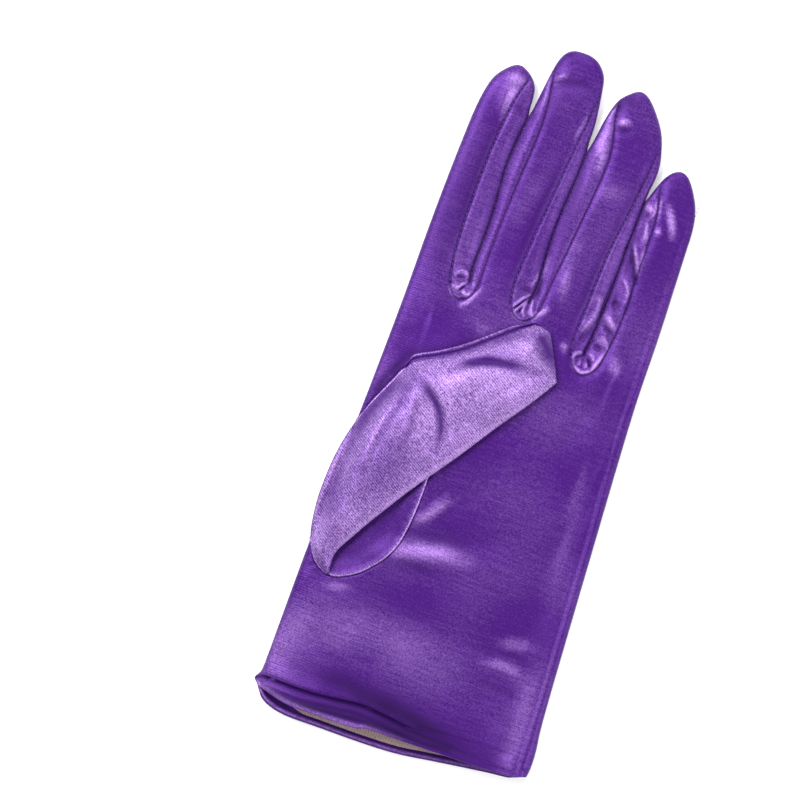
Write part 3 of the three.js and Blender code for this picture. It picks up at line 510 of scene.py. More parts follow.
# Painted shade where it turns away from the light or lies in a fold, in the same columns.
shade = [
    ([(-19, 53), (-12, 53.4), (-4, 53)], 1.7, 0.5),
    ([(-15.4, 63), (-8, 63.6), (0, 64.8), (8, 66.6)], 2.2, 0.55),
    ([(-36, 8), (-22, 9.4), (-6, 8.4), (12, 6), (28, 4)], 3.8, 0.95),
    ([(-20, 5.6), (-8, 6.6), (6, 5.2), (24, 3.4)], 2.0, 0.35),
    ([(-44.5, 0.8), (-38, 0.9), (-26, 1.2), (-14, 2.4), (0, 2.0), (20, 1.0), (38, 1)], 1.5, 0.95),
    ([(-41, -1.1), (-32, -1.4), (-20, -0.9), (-8, 0.0), (6, 0.2), (22, 0.2)], 1.1, 0.85),
    ([(24, 24.6), (30, 25), (36, 23.4)], 1.4, 0.4),
    ([(25, 36), (31, 36.4), (36, 35.8)], 1.2, 0.4),
    ([(-38.5, 112), (-36.6, 117.4), (-28, 121.6), (-18, 127.6), (-9, 134.4), (-2, 140.6)], 1.7, 0.6),
    ([(-29.4, 146.5), (-28.2, 147.2), (-27, 147.1)], 0.5, 0.7),
    ([(-27.1, 142.6), (-26.3, 144.1), (-25.3, 145.4)], 0.3, 1.0),
    ([(-25.4, 149.8), (-24.8, 148), (-24.5, 146.2)], 0.42, 1.0),
    ([(-8.3, 143.0), (-7.0, 145.0), (-5.6, 147.2), (-4.0, 148.7)], 0.34, 1.0),
    ([(-6.7, 141.8), (-5.9, 143.6), (-5.5, 145.6)], 0.32, 0.8),
    ([(-4.0, 148.2), (-3.9, 146), (-3.7, 144.0)], 0.36, 1.0),
    ([(-2.6, 147.6), (-1.9, 145.2), (-1, 143.8)], 0.34, 0.6),
    ([(-8.6, 151.0), (-6.4, 150.6), (-4.4, 151.4)], 1.0, 0.6),
    ([(-3.5, 158), (-3.3, 154.4), (-3.3, 150.6)], 0.45, 1.0),
    ([(-2.4, 157), (-2.4, 152), (-1.9, 148)], 0.9, 0.8),
    ([(20.3, 142.6), (19.1, 140.4), (18.3, 138.4), (18.9, 136.8)], 0.3, 1.0),
    ([(16.3, 134.9), (17.6, 136), (19.0, 136.3)], 0.36, 1.0),
    ([(19.4, 136.3), (20.7, 135.2), (21.9, 133.1)], 0.3, 1.0),
    ([(19, 135.6), (18.8, 134), (19.4, 132.4)], 0.26, 0.7),
    ([(20.2, 140.4), (21.6, 140.2), (23.2, 139.6)], 0.8, 0.6),
    ([(21.4, 147.5), (23.4, 146.6), (25.2, 145.2)], 0.7, 0.7),
    ([(21.6, 157.4), (22.9, 155), (24.4, 152.6)], 1.2, 0.55),
    ([(22.3, 174), (24.3, 169.2), (26.5, 164.2)], 0.5, 1.0),
    ([(21.5, 180.5), (21.8, 174), (22.5, 167.4)], 0.9, 0.8),
    ([(22.2, 161.6), (22, 157), (21.5, 153.4)], 0.9, 0.6),
    ([(22.2, 185), (23, 182.4), (22.6, 179)], 0.8, 0.5),
    ([(19.2, 148.9), (17.8, 145.4), (16.3, 142.2), (14.8, 139.5)], 0.9, 0.6),
    ([(20.1, 166), (19.5, 158), (19.2, 152), (19.4, 147)], 0.5, 0.9),
    ([(-29.6, 206.2), (-28.2, 205.2), (-26.4, 204.7)], 1.1, 0.5),
    ([(-19.8, 216.2), (-15.8, 218), (-11.5, 219.4), (-6.5, 219.6)], 1.6, 0.55),
    ([(5.6, 209.7), (6.9, 210), (8.2, 209.6)], 0.9, 0.6),
    ([(-33.5, 198), (-34.3, 184), (-34.4, 170), (-34.0, 154)], 1.1, 0.45),
    ([(-8.2, 202), (-9.8, 188), (-11.4, 174), (-12.2, 160), (-11.8, 148)], 1.2, 0.6),
    ([(17.6, 198), (16.4, 190), (14.2, 176), (12.6, 162), (12.2, 148), (12, 138)], 1.2, 0.6),
    ([(-38.4, 142), (-38.4, 166), (-37.6, 188), (-36.8, 204)], 4.6, 0.42),
    ([(-35, 117.6), (-38.4, 111.6), (-41.4, 104.6), (-43.6, 98)], 1.6, 0.75),
    ([(-1.5, 198), (-1.1, 187), (-1.2, 176), (-1.6, 162)], 1.5, 0.55),
    ([(-18.4, 216.4), (-17.9, 209), (-17.9, 201)], 1.1, 0.5),
    ([(-21.4, 221.6), (-19.6, 226), (-15.5, 228.4)], 1.7, 0.5),
    ([(1.4, 215.6), (4, 218.8), (7.6, 221.6)], 2.2, 0.7),
    ([(-22.9, 216), (-22.3, 209.6), (-22.7, 202)], 0.8, 0.5),
    ([(22.3, 170), (22.5, 166.6), (22.3, 163)], 0.8, 0.5),
    ([(22.3, 179.8), (23.3, 176.8), (24.4, 173.4)], 0.5, 0.5),
    ([(-20.2, 150), (-19.6, 172), (-18.6, 190)], 0.8, 0.35),
    ([(1.8, 152), (3.8, 166), (5.2, 184)], 0.8, 0.35),
    ([(27.6, 146), (27.9, 160), (27.6, 178)], 0.8, 0.35),
    ([(45.4, 4), (44.6, 25), (43.2, 52), (41.4, 80), (39.7, 110), (39, 128)], 0.9, 0.4),
]


def foldHeight(folds, points):
    total = np.zeros(len(points))
    for x, y, turn, long, wide, rise in folds:
        cos, sin = math.cos(math.radians(turn)), math.sin(math.radians(turn))
        dx, dy = points[:, 0] - x, points[:, 1] - y
        total += rise * bell(dx * cos + dy * sin, long) * bell(dy * cos - dx * sin, wide)
    return total


# Short gathers that a seam pulls into the cloth, uneven in length and highest a little off the seam.
def seamPuckers(distance, along, size, seed):
    sway = 1.7 * np.sin(along * 0.9 + seed)
    wave = np.sin(along * 2 * math.pi / size + sway + seed)
    return ridge(distance, (wave, 1.1, 1.2))


def nearestOf(tracks, points, reach):
    distance = np.full(len(points), float(reach))
    for track in tracks.values():
        distance = np.minimum(distance, track.near(points, reach)[0])
    return distance


def edgeTurn(edge, radius):
    return radius * np.sqrt(1 - (1 - np.clip(edge / radius, 0, 1)) ** 2)


def palmHeight(points):  # the palm side's outer face
    x, y = points.T
    edge = edgeTrack.near(points, 28)[0]
    fingers = smoothStep(*cloth["fingers"], y)
    cuff = smoothStep(*cloth["cuff"], y)
    full = mix(mix(cloth["palmHeight"], cloth["cuffHeight"], cuff), cloth["fingerHeight"], fingers)
    besideSlit = np.zeros(len(points))
    for web in webs:
        further = slitTracks[web].near(points, 12)[0] - edge  # 0 where the slit is the nearest edge
        besideSlit = np.maximum(besideSlit, smoothStep(2.5, 0.5, further))
    run = mix(mix(cloth["palmRun"], cloth["fingerRun"], fingers), cloth["slitRun"], besideSlit * fingers)
    crown = 1 - (1 - np.clip(edge / run, 0, 1)) ** cloth["crown"]
    radius = mix(cloth["edgeRound"], cloth["slitRound"], besideSlit * fingers)
    height = cloth["edgeMiddle"] + edgeTurn(edge, radius)
    height += (full - cloth["edgeMiddle"] - radius) * crown
    slack = np.clip(edge / cloth["slackRun"], 0, 1)
    seamSlack = np.clip(edge / cloth["seamRun"], 0, 1)
    height += foldHeight(palmFolds, points) * slack
    height += cockle(cloth["unevenness"], points) * slack
    nearest = np.full(len(points), cloth["archRun"])
    strips = np.zeros(len(points), bool)
    for seed, web in enumerate(webs):
        near, along = seamTracks[web].near(points, cloth["archRun"])
        strips |= isInside(stripLoops[web], points)
        nearest = np.minimum(nearest, near)
        rise, size = gatherings["web"]
        height += seamPuckers(near, along, size, seed) * rise * slack * (near < 4.9)
    arch = cloth["fingerArch"] * (1 - (1 - nearest / cloth["archRun"]) ** 2)
    arch = np.where(strips, cloth["fingerArch"] * cloth["stripArch"], arch)
    height += arch * slack * mix(cloth["palmArch"], 1, fingers)
    fall = np.where(strips, ridge(nearest, grooves["stripFall"]), ridge(nearest, grooves["fingerFall"]))
    height -= (fall + ridge(nearest, grooves["seam"])) * seamSlack
    height += strokes(creases, points) * slack
    for name, track, run, seed in (("hole", holeTrack, slack, 7), ("outSeam", outSeamTrack, seamSlack, 9)):
        near, along = track.near(points, 6)
        height -= (ridge(near, grooves[name]) - ridge(near, grooves[name + "Welt"])) * run
        rise, size = gatherings[name]
        height += seamPuckers(near, along, size, seed) * rise * slack
    fade = mix(0.3, 1, smoothStep(16, -8, x))  # the hem's crease is deep towards the index side
    height -= ridge(creaseTrack.near(points, 6)[0], grooves["hemCrease"]) * fade * slack
    below = np.interp(x, creaseLine[:, 0], creaseLine[:, 1]) - y
    band = np.clip(below / hemBand["wide"], 0, 1)
    bulge = hemBand["bulge"] * np.sin(math.pi * np.clip(band * 1.15, 0, 1))
    height += (bulge - hemBand["fall"] * smoothStep(0.45, 1.1, band)) * slack
    height += 0.5 * bell(x + 10.9, 1.8) * bell(y + 0.9, 1.4)  # a small hump in the hem
    return height


def backHeight(points):  # the back's outer face, which lies on the table
    edge = edgeTrack.near(points, 3)[0]
    height = cloth["edgeMiddle"] - edgeTurn(edge, cloth["edgeRound"])
    for web in webs:
        near = seamTracks[web].near(points, 2)[0]
        height += ridge(near, grooves["backSeam"]) * np.clip(edge / cloth["seamRun"], 0, 1)
    return height


def hexPoints(low, high, spacing):
    rowHeight = 0.866  # of a spacing, in a net of equal triangles
    rows = int((high[1] - low[1]) / (spacing * rowHeight)) + 1
    return [(x, low[1] + j * spacing * rowHeight) for j in range(rows)
            for x in np.arange(low[0] + (j % 2) * spacing / 2, high[0], spacing)]


# Triangles in plan that follow the given lines, with rings of points beside the lines, a net of
# points in the loop and closer nets in the boxes of denser.
def planMesh(lines, spacing, rings, loop, denser=()):
    tracks = KDTree(sum(len(line) * 3 for line in lines))
    for line in lines:
        for x, y in evenly(line, pace["hem"] / 3)[: len(line) * 3]:
            tracks.insert((x, y, 0), 0)
    tracks.balance()
    points, edges = [], []
    for line in lines:
        start = len(points)
        points += [tuple(p) for p in line]
        edges += [(start + i, start + i + 1) for i in range(len(line) - 1)]
    loose = []
    for line in lines:
        side = leftOf(line)
        for ring in rings:
            for sign in (-1, 1):
                for p in line + side * ring * sign:
                    if tracks.find((p[0], p[1], 0))[2] > ring * 0.85:
                        loose.append(tuple(p))
    clear = max(rings) + spacing * 0.55
    for x, y in hexPoints(loop.min(0), loop.max(0), spacing):
        crowded = any(x0 < x < x1 and y0 < y < y1 for x0, y0, x1, y1, _ in denser)
        if not crowded and tracks.find((x, y, 0))[2] > clear:
            loose.append((x, y))
    for x0, y0, x1, y1, closer in denser:
        for x, y in hexPoints((x0, y0), (x1, y1), closer):
            if tracks.find((x, y, 0))[2] > closer * 0.7:
                loose.append((x, y))
    loose = np.array(loose)
    points += [tuple(p) for p in loose[isInside(loop, loose)]]
    found = delaunay_2d_cdt(points, edges, [], 0, 1e-3)
    places = np.array([tuple(p) for p in found[0]])
    faces = np.array([tuple(f) for f in found[2]], int)
    a, b, c = (places[faces[:, k]] for k in range(3))
    area = (b - a)[:, 0] * (c - a)[:, 1] - (b - a)[:, 1] * (c - a)[:, 0]
    faces = np.where((area < 0)[:, None], faces[:, ::-1], faces)
    faces = faces[np.abs(area) > 1e-7]
    return places, faces


def facesIn(places, faces, loop, outside=()):
    middles = places[faces].mean(axis=1)
    kept = isInside(loop, middles)
    for other in outside:
        kept &= ~isInside(other, middles)
    return faces[kept]


def weld(parts, reach=4e-3):  # joins sheets where their points meet
    points = np.vstack([p for p, _ in parts])
    starts = np.cumsum([0] + [len(p) for p, _ in parts])
    faces = np.vstack([f + s for (_, f), s in zip(parts, starts)])
    used = np.unique(faces)
    keys = np.round(points[used] / reach).astype(np.int64)
    _, first, back = np.unique(keys, axis=0, return_index=True, return_inverse=True)
    place = np.full(len(points), -1)
    place[used] = back.ravel()
    faces = place[faces]
    whole = (faces[:, 0] != faces[:, 1]) & (faces[:, 1] != faces[:, 2]) & (faces[:, 0] != faces[:, 2])
    return points[used][first], faces[whole]


def strip(rows):  # faces between rows of points that have the same count
    count = len(rows[0])
    faces = []
    for j in range(len(rows) - 1):
        for i in range(count - 1):
            a, b, c, d = j * count + i, j * count + i + 1, (j + 1) * count + i + 1, (j + 1) * count + i
            faces += [(a, b, c), (a, c, d)]
    return np.vstack(rows), np.array(faces, int)


def lift(places, height):
    return np.column_stack([places, height(places)])


def addObject(name, data):
    made = bpy.data.objects.new(name, data)
    bpy.context.scene.collection.objects.link(made)
    return made


def bakeModifiers(piece):
    evaluated = piece.evaluated_get(bpy.context.evaluated_depsgraph_get())
    baked = bpy.data.meshes.new_from_object(evaluated)
    piece.modifiers.clear()
    piece.data = baked


def makePiece(name, parts, material, thickness, paintedLightAndShade=None):
    points, faces = weld(parts)
    mesh = bpy.data.meshes.new(name)
    mesh.from_pydata(toRow(points).tolist(), [], faces.tolist())
    mesh.validate()
    mesh.polygons.foreach_set("use_smooth", [True] * len(mesh.polygons))
    # Each piece may carry its painted highlight and painted shade as attributes of its points.
    if paintedLightAndShade is not None:
        for mark, values in paintedLightAndShade(points).items():
            layer = mesh.attributes.new(mark, "FLOAT", "POINT")
            layer.data.foreach_set("value", np.asarray(values, np.float32))
    mesh.materials.append(material)
    mesh.update()
    piece = addObject(name, mesh)
    wall = piece.modifiers.new("wall", "SOLIDIFY")
    wall.thickness = thickness / 1000
    wall.offset = -1
    bakeModifiers(piece)
    rimAngle = 75  # the rims of the cut cloth stay sharp
    piece.data.set_sharp_from_angle(angle=math.radians(rimAngle))
    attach(piece, "root")
    return piece


class Value:  # an output in a node tree that Python's operators work on
    def __init__(self, tree, socket):
        self.tree = tree
        self.socket = socket

    def maths(self, operation, *others):
        inputs = {i: other for i, other in enumerate((self, *others))}
        return self.tree.node("ShaderNodeMath", {"operation": operation}, inputs)

    def __add__(self, other):
        return self.maths("ADD", other)

    def __radd__(self, other):
        return self.maths("ADD", other)

    def __mul__(self, other):
        return self.maths("MULTIPLY", other)

    def __rmul__(self, other):
        return self.maths("MULTIPLY", other)

    def __sub__(self, other):
        return self.maths("SUBTRACT", other)

    def __rsub__(self, other):
        return self.maths("MULTIPLY", -1) + other

    def clipped(self):
        return self.maths("MAXIMUM", 0.0).maths("MINIMUM", 1.0)


class Tree:
    def __init__(self, tree):
        self.tree = tree

    def feed(self, socket, value):
        if isinstance(value, Value):
            self.tree.links.new(value.socket, socket)
        else:
            socket.default_value = value

    def node(self, kind, settings=None, inputs=None, out=0):
        made = self.tree.nodes.new(kind)
        for key, value in (settings or {}).items():
            setattr(made, key, value)
        for key, value in (inputs or {}).items():
            self.feed(made.inputs[key], value)
        return Value(self, made.outputs[out])

    def other(self, value, name):  # another output of the node that a value comes from
        return Value(self, value.socket.node.outputs[name])


class Paint(Tree):
    def __init__(self, name):
        self.material = bpy.data.materials.new(name)
        self.material.use_nodes = True
        super().__init__(self.material.node_tree)
        self.shader = self.tree.nodes["Principled BSDF"]

    def place(self):
        return self.node("ShaderNodeTexCoord", out="Object")

    def turned(self, degrees):
        turn = (0, 0, math.radians(degrees))
        return self.node("ShaderNodeMapping", inputs={"Vector": self.place(), "Rotation": turn})

    def mark(self, name):
        return self.node("ShaderNodeAttribute", {"attribute_name": name}, out="Fac")

    def noise(self, vector, scale, detail=2.0, roughness=0.5):
        inputs = {"Vector": vector, "Scale": scale, "Detail": detail, "Roughness": roughness}
        return self.node("ShaderNodeTexNoise", inputs=inputs)

    def bump(self, strength, distance, height):  # the distance is in millimetres
        inputs = {"Strength": strength, "Distance": distance / 1000, "Height": height}
        return self.node("ShaderNodeBump", inputs=inputs)

    def blend(self, amount, first, second):  # 0, 6, 7 and 2 are the sockets of a mix of colours
        return self.node("ShaderNodeMix", {"data_type": "RGBA"}, {0: amount, 6: first, 7: second}, 2)

    def set(self, **values):
        for key, value in values.items():
            self.feed(self.shader.inputs[key.replace("_", " ")], value)


def colour(*screen):  # red, green and blue as on a screen, 0 to 255
    light = [((c / 255 + 0.055) / 1.055) ** 2.4 if c > 10 else c / 255 / 12.92 for c in screen]
    return (*light, 1)


def makeSatin(name, look):
    paint = Paint(name)
    turned = paint.turned(look["ribTurn"])
    scale = (look["streakLong"], look["streakWide"], 1)
    stretched = paint.node("ShaderNodeMapping", inputs={"Vector": turned, "Scale": scale})
    streak = paint.noise(stretched, 1.0, 2.0, 0.6)
    across = paint.node("ShaderNodeSeparateXYZ", inputs={"Vector": turned}, out="Y")
    wobble = paint.noise(paint.place(), 700, 2.0) * look["ribWobble"]
    rib = (across * (math.tau / look["ribPitch"]) + wobble).maths("SINE")
    broad = paint.noise(paint.place(), 60, 3.0, 0.55)
    grain = paint.noise(paint.place(), look["grain"], 3.0, 0.75)
    # Painted glints: the grain's brightest specks, shown only within the painted highlights.
    paintedGlint = ((grain - look["paintedGlintFrom"]) * look["paintedGlintSharp"]).clipped()
    # The painted highlight and the painted shade that each piece carries as attributes of its points.
    paintedHighlight = paint.mark("paintedHighlight")
    paintedShade = paint.mark("paintedShade")
    body = paint.blend(broad, look["dark"], look["middle"])
    weave = (grain - 0.5) * look["grainShow"] + (streak - 0.5) * look["streakShow"] + rib * look["ribShow"]
    lively = weave * look["weaveInLight"] + paintedGlint * look["paintedGlintShow"] + 1.0
    tone = paintedHighlight * lively + weave * look["weaveInBody"]
    # The painted highlight lightens the body's colour; the painted shade takes it back out and darkens it
    # towards the deep colour.
    lit = paint.blend((tone * (1.0 - paintedShade)).clipped(), body, look["light"])
    shaded = paint.blend((paintedShade * (paintedShade * 0.5 + 0.5) * look["deepen"]).clipped(), lit, look["deep"])
    bump = paint.bump(look["bump"], look["ribDepth"], rib * 0.25 + grain * 1.6 + streak * 0.35)
    roughness = (grain - 0.5) * 0.2 + paintedShade * 0.2 + look["roughness"]
    paint.set(Base_Color=shaded, Roughness=roughness, Metallic=look["metallic"], Normal=bump,
              Specular_IOR_Level=look["specular"], Specular_Tint=look["glint"])
    return paint.material


satinLook = {
    "dark": colour(54, 17, 94),
    "middle": colour(66, 24, 112),
    # The colour that the painted highlights mix towards.
    "light": colour(156, 116, 192),
    # The colour that the painted shade mixes towards.
    "deep": colour(28, 9, 54),
    "glint": colour(196, 148, 240),
    "ribTurn": 0,  # degrees
    "ribPitch": 0.00078,  # metres from rib to rib
    "ribWobble": 4.5,
    "ribShow": 0.025,
    "ribDepth": 0.06,  # millimetres
    "grain": 1700,
    "grainShow": 1.1,
    "streakLong": 95,
    "streakWide": 1150,
    "streakShow": 0.42,
    # Painted glints, bright specks of the grain within the painted highlights.
    "paintedGlintShow": 0.25,
    "paintedGlintFrom": 0.56,  # the grain's level from which a painted glint begins
    "paintedGlintSharp": 9.0,
    "weaveInLight": 2.5,  # how much the weave breaks up the painted highlights
    "weaveInBody": 0.34,
    "bump": 0.7,
    # How far the painted shade darkens towards its colour.
    "deepen": 0.85,
    "roughness": 0.36,
    "specular": 0.26,
    "metallic": 0.15,
}
# The thumb's satin: its weave turned, a lighter colour for its painted highlights, more painted glints and
# lighter painted shade.
thumbLook = dict(satinLook, light=colour(176, 140, 206), ribTurn=33, ribWobble=1.6, ribShow=0.12,
                 ribPitch=0.0007, streakLong=260, streakWide=1100, specular=0.4, deepen=0.3,
                 paintedGlintShow=0.6, grainShow=1.45)
satin = makeSatin("satin", satinLook)
thumbSatin = makeSatin("thumbSatin", thumbLook)


tapeLook = {"dark": colour(130, 108, 110), "light": colour(182, 160, 153), "grain": 1200, "ribPitch": 0.0009}


def makeTapeFinish():
    paint = Paint("tapeFinish")
    grain = paint.noise(paint.place(), tapeLook["grain"], 3.0)
    weave = paint.node("ShaderNodeSeparateXYZ", inputs={"Vector": paint.place()}, out="X")
    rib = (weave * (math.tau / tapeLook["ribPitch"])).maths("SINE")
    tone = grain * 0.7 + rib * 0.15 + 0.1
    shade = paint.blend(tone, tapeLook["dark"], tapeLook["light"])
    paint.set(Base_Color=shade, Roughness=0.85, Normal=paint.bump(0.5, 0.08, rib + grain))
    return paint.material


tapeFinish = makeTapeFinish()
print("finishes made")


# Lines of painted highlight and painted shade: strength, how far off its middle lies, and half width.
paintedLineLooks = {
    "seam": (0.85, 0, 0.42),
    "parting": (0.8, 0, 0.65),  # painted shade between two fingers
    "hole": (0.6, 0.25, 0.35),
    "edge": (0.35, 0, 0.55),
    "crease": (1.0, 0, 0.5),
    "lip": (0.6, 0.5, 0.75),  # painted highlight along the palm's turned edge
    "roll": (0.55, 0.15, 0.4),  # painted highlight along the back's rolled edge
    "rollInside": (1, 1.2, 0.38),
    "rollOutside": (0.55, -0.85, 0.4),
}
markHeight = 2.6  # above the table, from which a point counts as the palm side's


def paintedClothLight(points):  # painted highlight where the satin shines lighter, and painted shade where it lies in shade
    flat = points[:, :2]
    x, y, z = points.T
    top = z > markHeight
    # A faint painted sheen that varies at random, and the listed painted highlights on the palm side.
    paintedHighlight = 0.05 + 0.05 * ripples(flat, 38, 21) + strokes(shine, flat) * top
    # The fourchettes get a little more painted sheen.
    for web in webs:
        paintedHighlight += 0.07 * isInside(stripLoops[web], flat)
    # Painted shade in the seams' grooves, between the fingers and where the listed shade lies.
    seam = ridge(nearestOf(seamTracks, flat, 3), paintedLineLooks["seam"])
    parting = ridge(nearestOf(slitTracks, flat, 3), paintedLineLooks["parting"])
    paintedShade = (seam + parting + strokes(shade, flat) * 0.85) * top
    # Painted shade along the thumb's hole seam low down, along the glove's outline and in the hem's crease
    # towards the index side.
    paintedShade += ridge(holeTrack.near(flat, 3)[0], paintedLineLooks["hole"]) * smoothStep(90, 60, y) * top
    paintedShade += ridge(edgeTrack.near(flat, 3)[0], paintedLineLooks["edge"])
    paintedShade += ridge(creaseTrack.near(flat, 3)[0], paintedLineLooks["crease"]) * smoothStep(24, 4, x) * top
    # A painted highlight along the palm side's turned lip and along the back's rolled edge.
    lip = y - np.interp(x, palmHemLine[:, 0], palmHemLine[:, 1])
    paintedHighlight += ridge(lip, paintedLineLooks["lip"]) * smoothStep(14, -14, x) * top
    inward = y - np.interp(x, backHemLine[:, 0], backHemLine[:, 1])
    low = ~top & (y < 2)
    paintedHighlight += ridge(inward, paintedLineLooks["roll"]) * low
    # Painted shade beside the back's roll, and deep painted shade inside the mouth towards the index side.
    inside = mix(0.9, 0.5, smoothStep(4, 16, x)) * ridge(inward, paintedLineLooks["rollInside"])
    paintedShade += (inside + ridge(inward, paintedLineLooks["rollOutside"])) * low
    paintedShade += 0.85 * smoothStep(1.0, 1.6, inward) * low * smoothStep(-32, -36, x)
    return {"paintedHighlight": np.clip(paintedHighlight, 0, 1), "paintedShade": np.clip(paintedShade, 0, 1)}


outline = np.vstack([chain, backHemLine[::-1][1:], chain[:1]])
trankLines = [outline, palmHemLine, *seamLines.values(), closeUp(holeLoop), creaseLine]
# Boxes with closer points where the cloth is gathered: two corners and the spacing.
gathers = [(-32.5, 139, -20, 151.5, 0.36), (-11, 139, 3, 152.5, 0.36), (13.5, 129.5, 26.8, 144.5, 0.36),
           (13.5, 144.5, 27, 193, 0.5)]
fine = planMesh(trankLines, 0.8, (0.35, 0.8), gloveLoop, gathers)
coarse = planMesh(trankLines[:-1], 2.0, (0.5,), gloveLoop)
fineTop = lift(fine[0], palmHeight)
coarseBack = lift(coarse[0], backHeight)
print("plan meshes", len(fine[1]), len(coarse[1]))


def turnedHem(line, height, profile):  # a strip from a hem's edge, round it and back inside
    inward = leftOf(line)
    ends = endFade(line, 8)
    rows = []
    for inside, rise in profile:
        flat = line + inward * inside * ends[:, None]
        rows.append(np.column_stack([flat, height + rise * ends]))
    return strip(rows)


def makeTrank():
    holes = [*stripLoops.values(), holeLoop]
    top = facesIn(fine[0], fine[1], palmLoop, holes)
    back = facesIn(coarse[0], coarse[1], gloveLoop, list(stripLoops.values()))
    roll = hem["roll"]
    turns = [(-math.sin(a) * roll, (math.cos(a) - 1) * roll) for a in np.linspace(0, math.pi, 7)]
    turns += [(inside, -2 * roll - hem["gap"]) for inside in (1.2, 2.6, 4.4, hem["turn"])]
    palmTurn = turnedHem(palmHemLine, palmHeight(palmHemLine), turns)
    roll = hem["backRoll"]
    turns = [(-math.sin(a) * roll, (1 - math.cos(a)) * roll) for a in np.linspace(0, math.pi, 9)]
    turns += [(0.55, 2 * roll - 0.2), (1.0, 1.35)]
    turns += [(inside, hem["inner"]) for inside in (1.5, 2.6, 4.4, hem["turn"])]
    backTurn = turnedHem(backHemLine, backHeight(backHemLine), turns)
    parts = [(fineTop, top), (coarseBack, back[:, ::-1]), (palmTurn[0], palmTurn[1][:, ::-1]), backTurn]
    piece = makePiece("gloveTrank", parts, satin, cloth["thickness"], paintedClothLight)
    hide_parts("trank")
    return piece


trank = makeTrank()
print("trank made", len(trank.data.polygons))


def makeFourchette(web):
    loop = stripLoops[web]
    top = facesIn(fine[0], facesIn(fine[0], fine[1], loop), gloveLoop)
    under = facesIn(coarse[0], facesIn(coarse[0], coarse[1], loop), gloveLoop)
    parts = [(fineTop, top), (coarseBack, under[:, ::-1])]
    piece = makePiece("strip_" + web, parts, satin, cloth["thickness"], paintedClothLight)
    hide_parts("fourchette_" + web)
    return piece


fourchettes = {web: makeFourchette(web) for web in webs}
print("fourchettes made")

sleeve = {
    "lift": 0.5,  # of its underside above the palm
    "edge": 0.5,  # radius of its folded edges
    "hang": 0.2,  # the same where it hangs from the collar
    "height": 6.4,
    "run": 11.0,  # from an edge to its full height
    "crown": 1.8,  # the higher, the steeper it rises from its edge
    "unevenness": [(0.12, 18, 31), (0.05, 7, 32)],  # height, size and seed
    "flangePucker": (0.1, 3.4),  # height and length of each
}
collar = {"lift": 0.1, "dip": 0.8, "from": 0.8, "to": 7, "welt": (0.55, 0.55, 0.4)}
# The seam's allowance beside the sleeve: how far out it reaches, and its height above the palm.
flange = [(-0.7, 1.0), (0, 0.5), (0.5, 0.3), (1.0, 0.4), (1.45, 0.75), (1.85, 0.85), (2.2, 0.5)]
# Dents and folds of the thumb's sleeve, then its painted highlights and painted shade, in the columns of
# palmFolds, creases, shine and shade.
thumbFolds = [
    (-20, 104, 138, 9, 2.4, -0.5),
    (-12, 124, 12, 13, 2.6, -0.4),
    (-24, 99, 118, 12, 4.0, 0.4),
    (-38, 78, 84, 28, 2.4, 0.25),
    (-43, 72, 84, 24, 1.8, -0.4),
    (5, 133, 130, 5, 1.8, -0.5),
    (-2, 117, 50, 14, 3.0, 0.35),
    (-14, 119, 75, 9, 3.4, 0.4),
]
thumbCreases = [
    ([(-31, 112.4), (-26.2, 109), (-21.5, 105.2), (-18.8, 101.4), (-17.2, 96.3), (-17.7, 89.8)], 1.1, -0.95),
    ([(-29, 114), (-24, 110.6), (-19, 106.2), (-16, 101.2), (-14.4, 95.8)], 1.3, 0.5),
    ([(-21.2, 117.5), (-16.5, 121.2), (-10.5, 123.8), (-3.9, 125), (5.2, 125.7)], 1.2, -1.0),
    ([(-17.6, 124), (-11, 127.6), (-4, 129), (4, 129.6)], 1.2, 0.25),
    ([(-0.6, 137.6), (3.2, 134.6), (7.2, 131.6), (11.4, 130)], 1.1, -0.5),
    ([(-33.2, 102.4), (-34.6, 95), (-35.6, 85), (-35.4, 76)], 1.1, -0.5),
    ([(-34.2, 105), (-36.9, 96.7), (-38.8, 85.6), (-39.3, 73.9)], 1.5, 0.18),
    ([(-30, 107.4), (-28.2, 98), (-28.4, 88)], 1.6, 0.35),
]
# Painted highlights of the sleeve.
thumbShine = [
    ([(12.8, 124.4), (0.9, 106.9), (-11.8, 89.2), (-23.5, 71.8), (-31.5, 58.4), (-35.9, 50.6),
      (-36.6, 45)], 1.1, 0.8),
    ([(-14, 125), (-17.4, 116.4), (-22.9, 103)], 3.2, 0.14),
    ([(-34.2, 105), (-36.9, 96.7), (-38.8, 85.6), (-39.3, 73.9)], 1.4, 0.06),
    ([(-45.6, 86), (-47.2, 72), (-46.8, 60), (-43, 49.6), (-36.6, 44.4)], 0.6, 0.22),
    ([(3, 130.4), (7.6, 128), (12.2, 125.6)], 1.0, 0.2),
    ([(-2, 118), (5, 120)], 5.0, 0.1),
]
